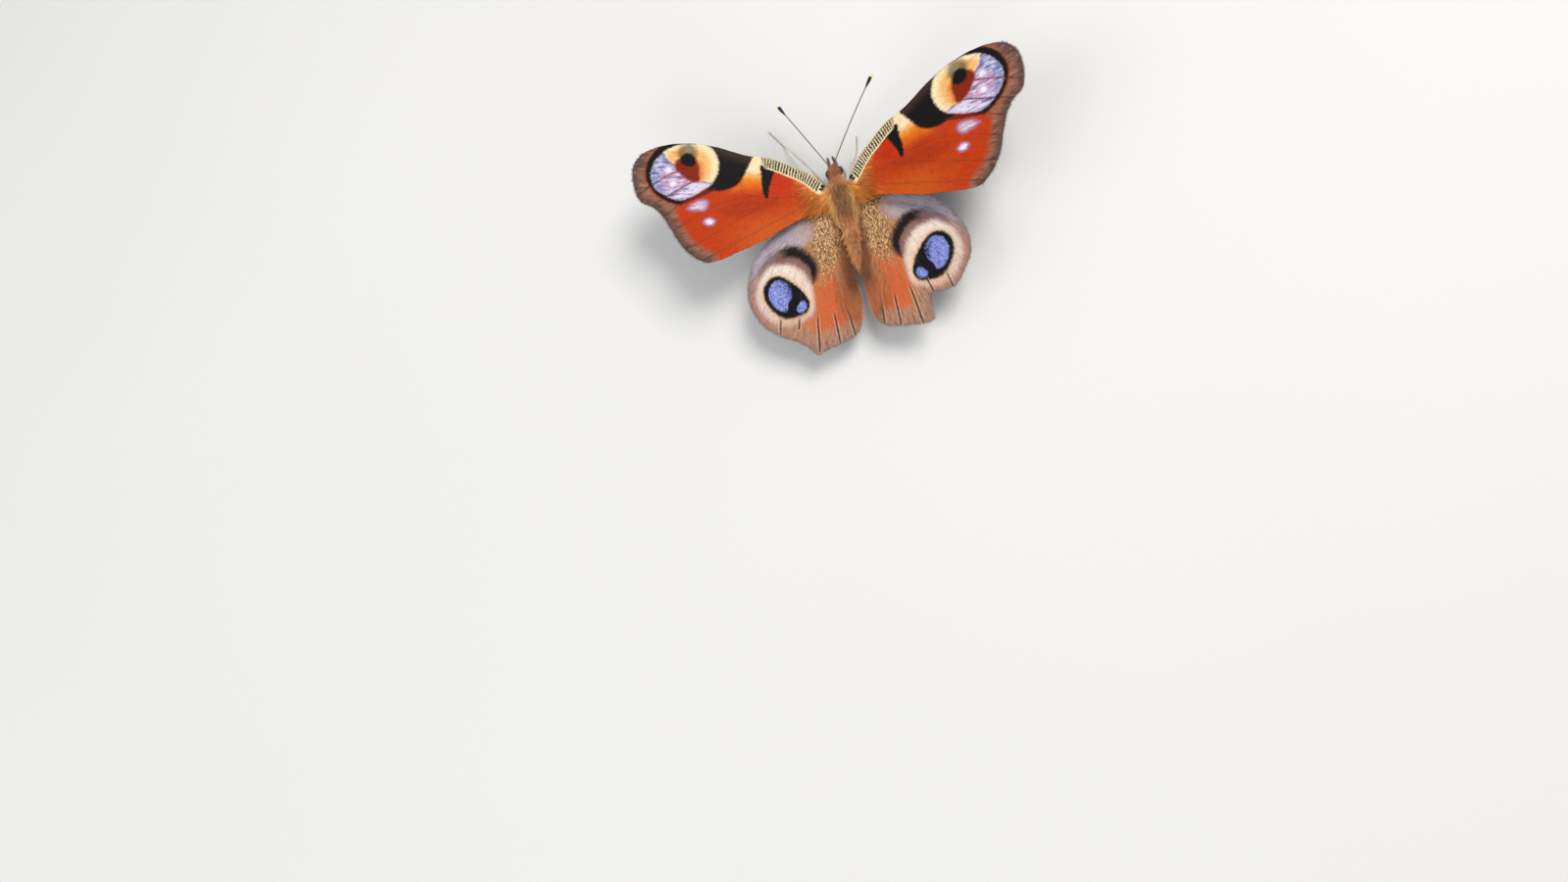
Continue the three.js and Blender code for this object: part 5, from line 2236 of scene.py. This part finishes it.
@dataclass
class WalkingLeg:
    """One walking leg: thigh, shin with spurs, five-jointed foot and claws."""

    name: str
    path: tuple[tuple[float, ...], ...]
    coat: CoatTree
    finish: Material
    seed: int
    foot_height: float = 0.1
    foot_shares: tuple[float, ...] = (0.0, 0.36, 0.56, 0.72, 0.86, 1.0)
    foot_girths: Place = (0.07, 0.082, 0.09)
    bristles: tuple[tuple[int, float], ...] = ((260, 0.2), (320, 0.22), *[(60, 0.12)] * 5)

    def build(self) -> None:
        """Builds the leg as one piece with its bristles as another."""
        hip, knee, ankle = (np.array(p) for p in self.path[:3])
        joint, claws = (np.array([*p, self.foot_height]) for p in self.path[3:5])
        root = hip - unit(knee - hip) * 0.3
        thigh = [root, (root + knee) / 2 + np.array([0, 0, 0.08]), knee]
        shin = [knee, (knee + ankle) / 2 + np.array([0, 0, 0.05]), ankle]
        parts = [self._limb(thigh, (0.15, 0.2, 0.13), 0.0, 40),
                 self._limb(shin, (0.12, 0.12, 0.1), 1.0, 40)]
        foot_line = evenly(np.array([ankle, joint, claws]), 60)
        for k, span in enumerate(zip(self.foot_shares, self.foot_shares[1:])):
            a, b = (foot_line[round(share * 59)] for share in span)
            parts.append(self._limb([a, (a + b) / 2, b], self.foot_girths, 2.0 + 0.2 * k, 14))
        heading = unit(claws - joint)
        across = np.cross(heading, [0.0, 0.0, 1.0])
        spur = ankle + (knee - ankle) * 0.06
        shapes = [part.shape() for part in parts]
        for side in (-1, 1):
            out = claws + across * side * 0.12
            bend, point = out + heading * 0.16 + [0, 0, 0.03], out + heading * 0.3 + [0, 0, -0.06]
            shapes.append(self._tapered(flowing([claws, bend, point], 9), 0.04, 3.0))
            tip = spur + heading * 0.4 + across * side * 0.2
            shapes.append(self._tapered(evenly(np.array([spur, tip]), 6), 0.035, 1.9))
        nodes = [f"{self.name}_{part}" for part in ("femur", "tibia", "tarsus")]
        settle(merged(shapes).build(self.name, self.finish), "leg", *nodes)
        rng = np.random.default_rng(self.seed)
        bristled = (self._bristled(part, rng, *row) for part, row in zip(parts, self.bristles))
        settle(self.coat.grow(self.name + "_bristles", reduce(Seats.joined, bristled), Template.HAIR,
                              self.finish, self.seed, 0.3, 0.2), "leg")

    @staticmethod
    def _limb(points: Sequence[Array], girths: Place, joint: float, count: int) -> GridSkin:
        """Builds one joint of the leg, rounded at both ends.

        Args:
            points: The points.
            girths: Half its thickness at the start, middle and end.
            joint: How far along the leg it starts, in joints.
            count: How many are wanted.

        Returns:
            The skin.
        """
        share = np.linspace(0.0, 1.0, count)
        girth = np.interp(share, (0.0, 0.5, 1.0), girths)
        girth = girth * np.sqrt(np.clip(1 - np.abs(2 * share - 1) ** 14, 0.03, 1.0))
        length = np.linalg.norm(points[-1] - points[0])
        place = np.column_stack([joint + share * 0.9, np.zeros(count), share * length])
        return GridSkin.along(flowing(points, count), girth, girth, 16, place)

    @staticmethod
    def _tapered(path: Array, girth: float, joint: float) -> Shape:
        """Builds a claw or spur that runs to a point."""
        girths = girth * np.linspace(1.0, 0.12, len(path))
        return GridSkin.along(path, girths, girths, 8, np.tile([joint, 0.0, 0.0], (len(path), 1))).shape()

    @staticmethod
    def _bristled(part: GridSkin, rng: np.random.Generator, count: int, length: float) -> Seats:
        """Sets short bristles on one joint above the floor, pointing to the foot.

        Args:
            part: The joint of the leg.
            rng: Where the chances come from.
            count: How many are wanted.
            length: The longest bristle in millimetres.

        Returns:
            The seats.
        """
        ahead = unit(part.rings[-1].mean(0) - part.rings[0].mean(0))
        growth = Growth(lambda points: ahead, 0.15, (0.6 * length, length), 0.028, 0.022, sink=0.005,
                        crowd=lambda points: (points[:, 2] > 0.08).astype(float))
        return part.seats(rng, count, growth)


@dataclass
class Studio:
    """The camera, the pale floor and the soft lights."""

    camera_place: Place = (15.64, -55.13, 153.03)
    camera_turn: Place = (4.175, 14.857, -15.580)
    lens: float = 22.5
    floor_size: float = 3.0
    lamps: tuple[tuple[str, Place, float, float, Place], ...] = (
        ("key", (230.0, 150.0, 400.0), 240.0, 1.68, (1.0, 0.985, 0.96)),
        ("fill", (-320.0, -60.0, 300.0), 320.0, 0.6, (0.95, 0.97, 1.0)),
        ("rim", (-60.0, -380.0, 260.0), 240.0, 0.4, (1.0, 1.0, 1.0)))

    def build(self) -> None:
        """Builds the studio."""
        self.camera()
        self.floor()
        for lamp in self.lamps:
            self.light(*lamp)
        world = bpy.data.worlds.new("soft_room")
        world.use_nodes = True
        backdrop = world.node_tree.nodes["Background"]
        backdrop.inputs["Color"].default_value = (0.9, 0.94, 1.0, 1.0)
        backdrop.inputs["Strength"].default_value = 0.4
        bpy.context.scene.world = world
        bpy.context.scene.view_settings.view_transform = "Standard"

    def camera(self) -> None:
        """Places the camera at the photograph's viewing angle."""
        data = bpy.data.cameras.new("camera")
        data.sensor_width = 36.0
        data.lens = self.lens
        data.clip_start = 0.01
        data.clip_end = 20.0
        eye = in_scene("camera", data)
        eye.location = Vector((np.array(self.camera_place) + ORIGIN) * MM)
        eye.rotation_euler = [math.radians(a) for a in self.camera_turn]
        bpy.context.scene.camera = eye

    def floor(self) -> None:
        """Lays the pale floor."""
        half = self.floor_size / 2
        mesh = bpy.data.meshes.new("floor")
        corners = [(-half, -half, 0), (half, -half, 0), (half, half, 0), (-half, half, 0)]
        mesh.from_pydata(corners, [], [(0, 1, 2, 3)])
        tree = ShaderTree("floor")
        where = tree.node("ShaderNodeTexCoord", {}, {}, "Object")
        tone = tree.mix(tree.noise(where, 9.0), shade(226, 224, 220), shade(232, 230, 227))
        mesh.materials.append(tree.finish(tone, 0.75, None, Specular_IOR_Level=0.2))
        in_scene("floor", mesh)

    @staticmethod
    def light(name: str, place: Place, size: float, power: float, tint: Place) -> None:
        """Hangs one square soft light that faces the butterfly.

        Args:
            name: The light's name.
            place: Its place in millimetres.
            size: Its side in millimetres.
            power: Its power in watts.
            tint: Its colour.
        """
        data = bpy.data.lights.new(name, "AREA")
        data.shape = "SQUARE"
        data.size = size * MM
        data.energy = power
        data.color = tint
        lamp = in_scene(name, data)
        lamp.location = Vector(place) * MM
        lamp.rotation_euler = (-lamp.location).to_track_quat("-Z", "Y").to_euler()


def fore_hair_zone(plan: Array) -> Array:
    """Tells how hairy the forewing's root is at points of its plan."""
    below = plan[:, 1] - 0.95 * plan[:, 0]
    return smooth_step(4.2, 0.4, plan[:, 0]) * smooth_step(-0.6, -1.8, below)


def hind_hair_zone(plan: Array) -> Array:
    """Tells how hairy the hindwing's root and inner edge are at points of its plan.

    Args:
        plan: Points of the plan.

    Returns:
        A share of 0 to 1 for each point.
    """
    down = -plan[:, 1]
    strip = plan[:, 0] - np.clip((down - 6.0) * 0.5, 0.0, 2.2)
    edge = smooth_step(1.6, -2.4, strip) ** 2 * smooth_step(17.0, 11.0, down)
    return edge * (0.15 + smooth_step(5.0, 9.0, down))


def build_wings(coat: CoatTree) -> None:
    """Builds the four wings with their plumage.

    Args:
        coat: The node tree that grows the coats.
    """
    fore_fan, hind_fan = (-5.0, 3.0), (1.0, 5.0)
    fore_top, hind_top = ForewingTop().build(fore_fan), HindwingTop().build(hind_fan)
    fore_under = WingUnder("forewing_under").build(fore_fan)
    hind_under = WingUnder("hindwing_under").build(hind_fan)
    fore_hinge, hind_hinge = (2.0, 1.5, 5.2), (2.0, -2.0, 4.3)
    poses = (
        ("left", -1, WingPose(fore_hinge, 4.6, 14.9, 0.0, -1), WingPose(hind_hinge, 4.1, 7.1, 1.0, -1)),
        ("right", 1, WingPose(fore_hinge, -4.6, 16.5, -2.3, 1), WingPose(hind_hinge, -4.1, 6.7, -1.7, 1)))
    for label, side, fore_pose, hind_pose in poses:
        fore = Wing(f"forewing_{label}", fore_pose, FORE_OUTLINE, FORE_VEINS, (1.2, 0.3), 0.6, 30.0, fore_fan,
                    (9, 18), (1, 8))
        WingPlumage(fore, fore_top, fore_under, coat, 100 + 10 * side, fore_hair_zone, 600,
                    (1.0, 2.2), (-5.0, 4.5)).build()
        outline = (*HIND_FRONT, *(HIND_TAIL if side < 0 else HIND_TORN), *HIND_INNER)
        hind = Wing(f"hindwing_{label}", hind_pose, outline, HIND_VEINS, (1.0, -1.0), 0.4, 22.0, hind_fan,
                    (5, 18), (1, 7), fold_from=1.5)
        WingPlumage(hind, hind_top, hind_under, coat, 200 + 10 * side, hind_hair_zone, 1900,
                    (1.2, 2.8), (3.0, 6.0)).build()


LEG_PATHS = {
    "midleg_left": ((-1.3, 2.0, 2.3), (-3.6, 7.4, 3.3), (-6.3, 12.5, 1.2), (-7.3, 14.2), (-9.0, 17.25)),
    "midleg_right": ((1.3, 1.6, 2.3), (5.7, 2.9, 3.6), (2.8, 6.7, 1.5), (3.9, 8.2), (4.65, 11.1)),
    "hindleg_left": ((-1.3, -1.0, 2.2), (-5.6, -3.4, 3.2), (-7.9, -7.9, 1.3), (-8.4, -9.7), (-9.2, -13.0)),
    "hindleg_right": ((1.3, -1.0, 2.2), (5.4, -3.8, 3.2), (7.2, -8.5, 1.3), (7.5, -10.3), (8.0, -13.6)),
}


def main() -> None:
    """Builds the studio and then the butterfly, sub-assembly by sub-assembly."""
    Studio().build()
    coat = CoatTree()
    build_wings(coat)
    Trunk(coat).build()
    Face(coat).build()
    leg = LegFinish("leg").build()
    for k, (name, path) in enumerate(LEG_PATHS.items()):
        WalkingLeg(name, path, coat, leg, 61 + k).build()


if __name__ == "__main__":
    main()
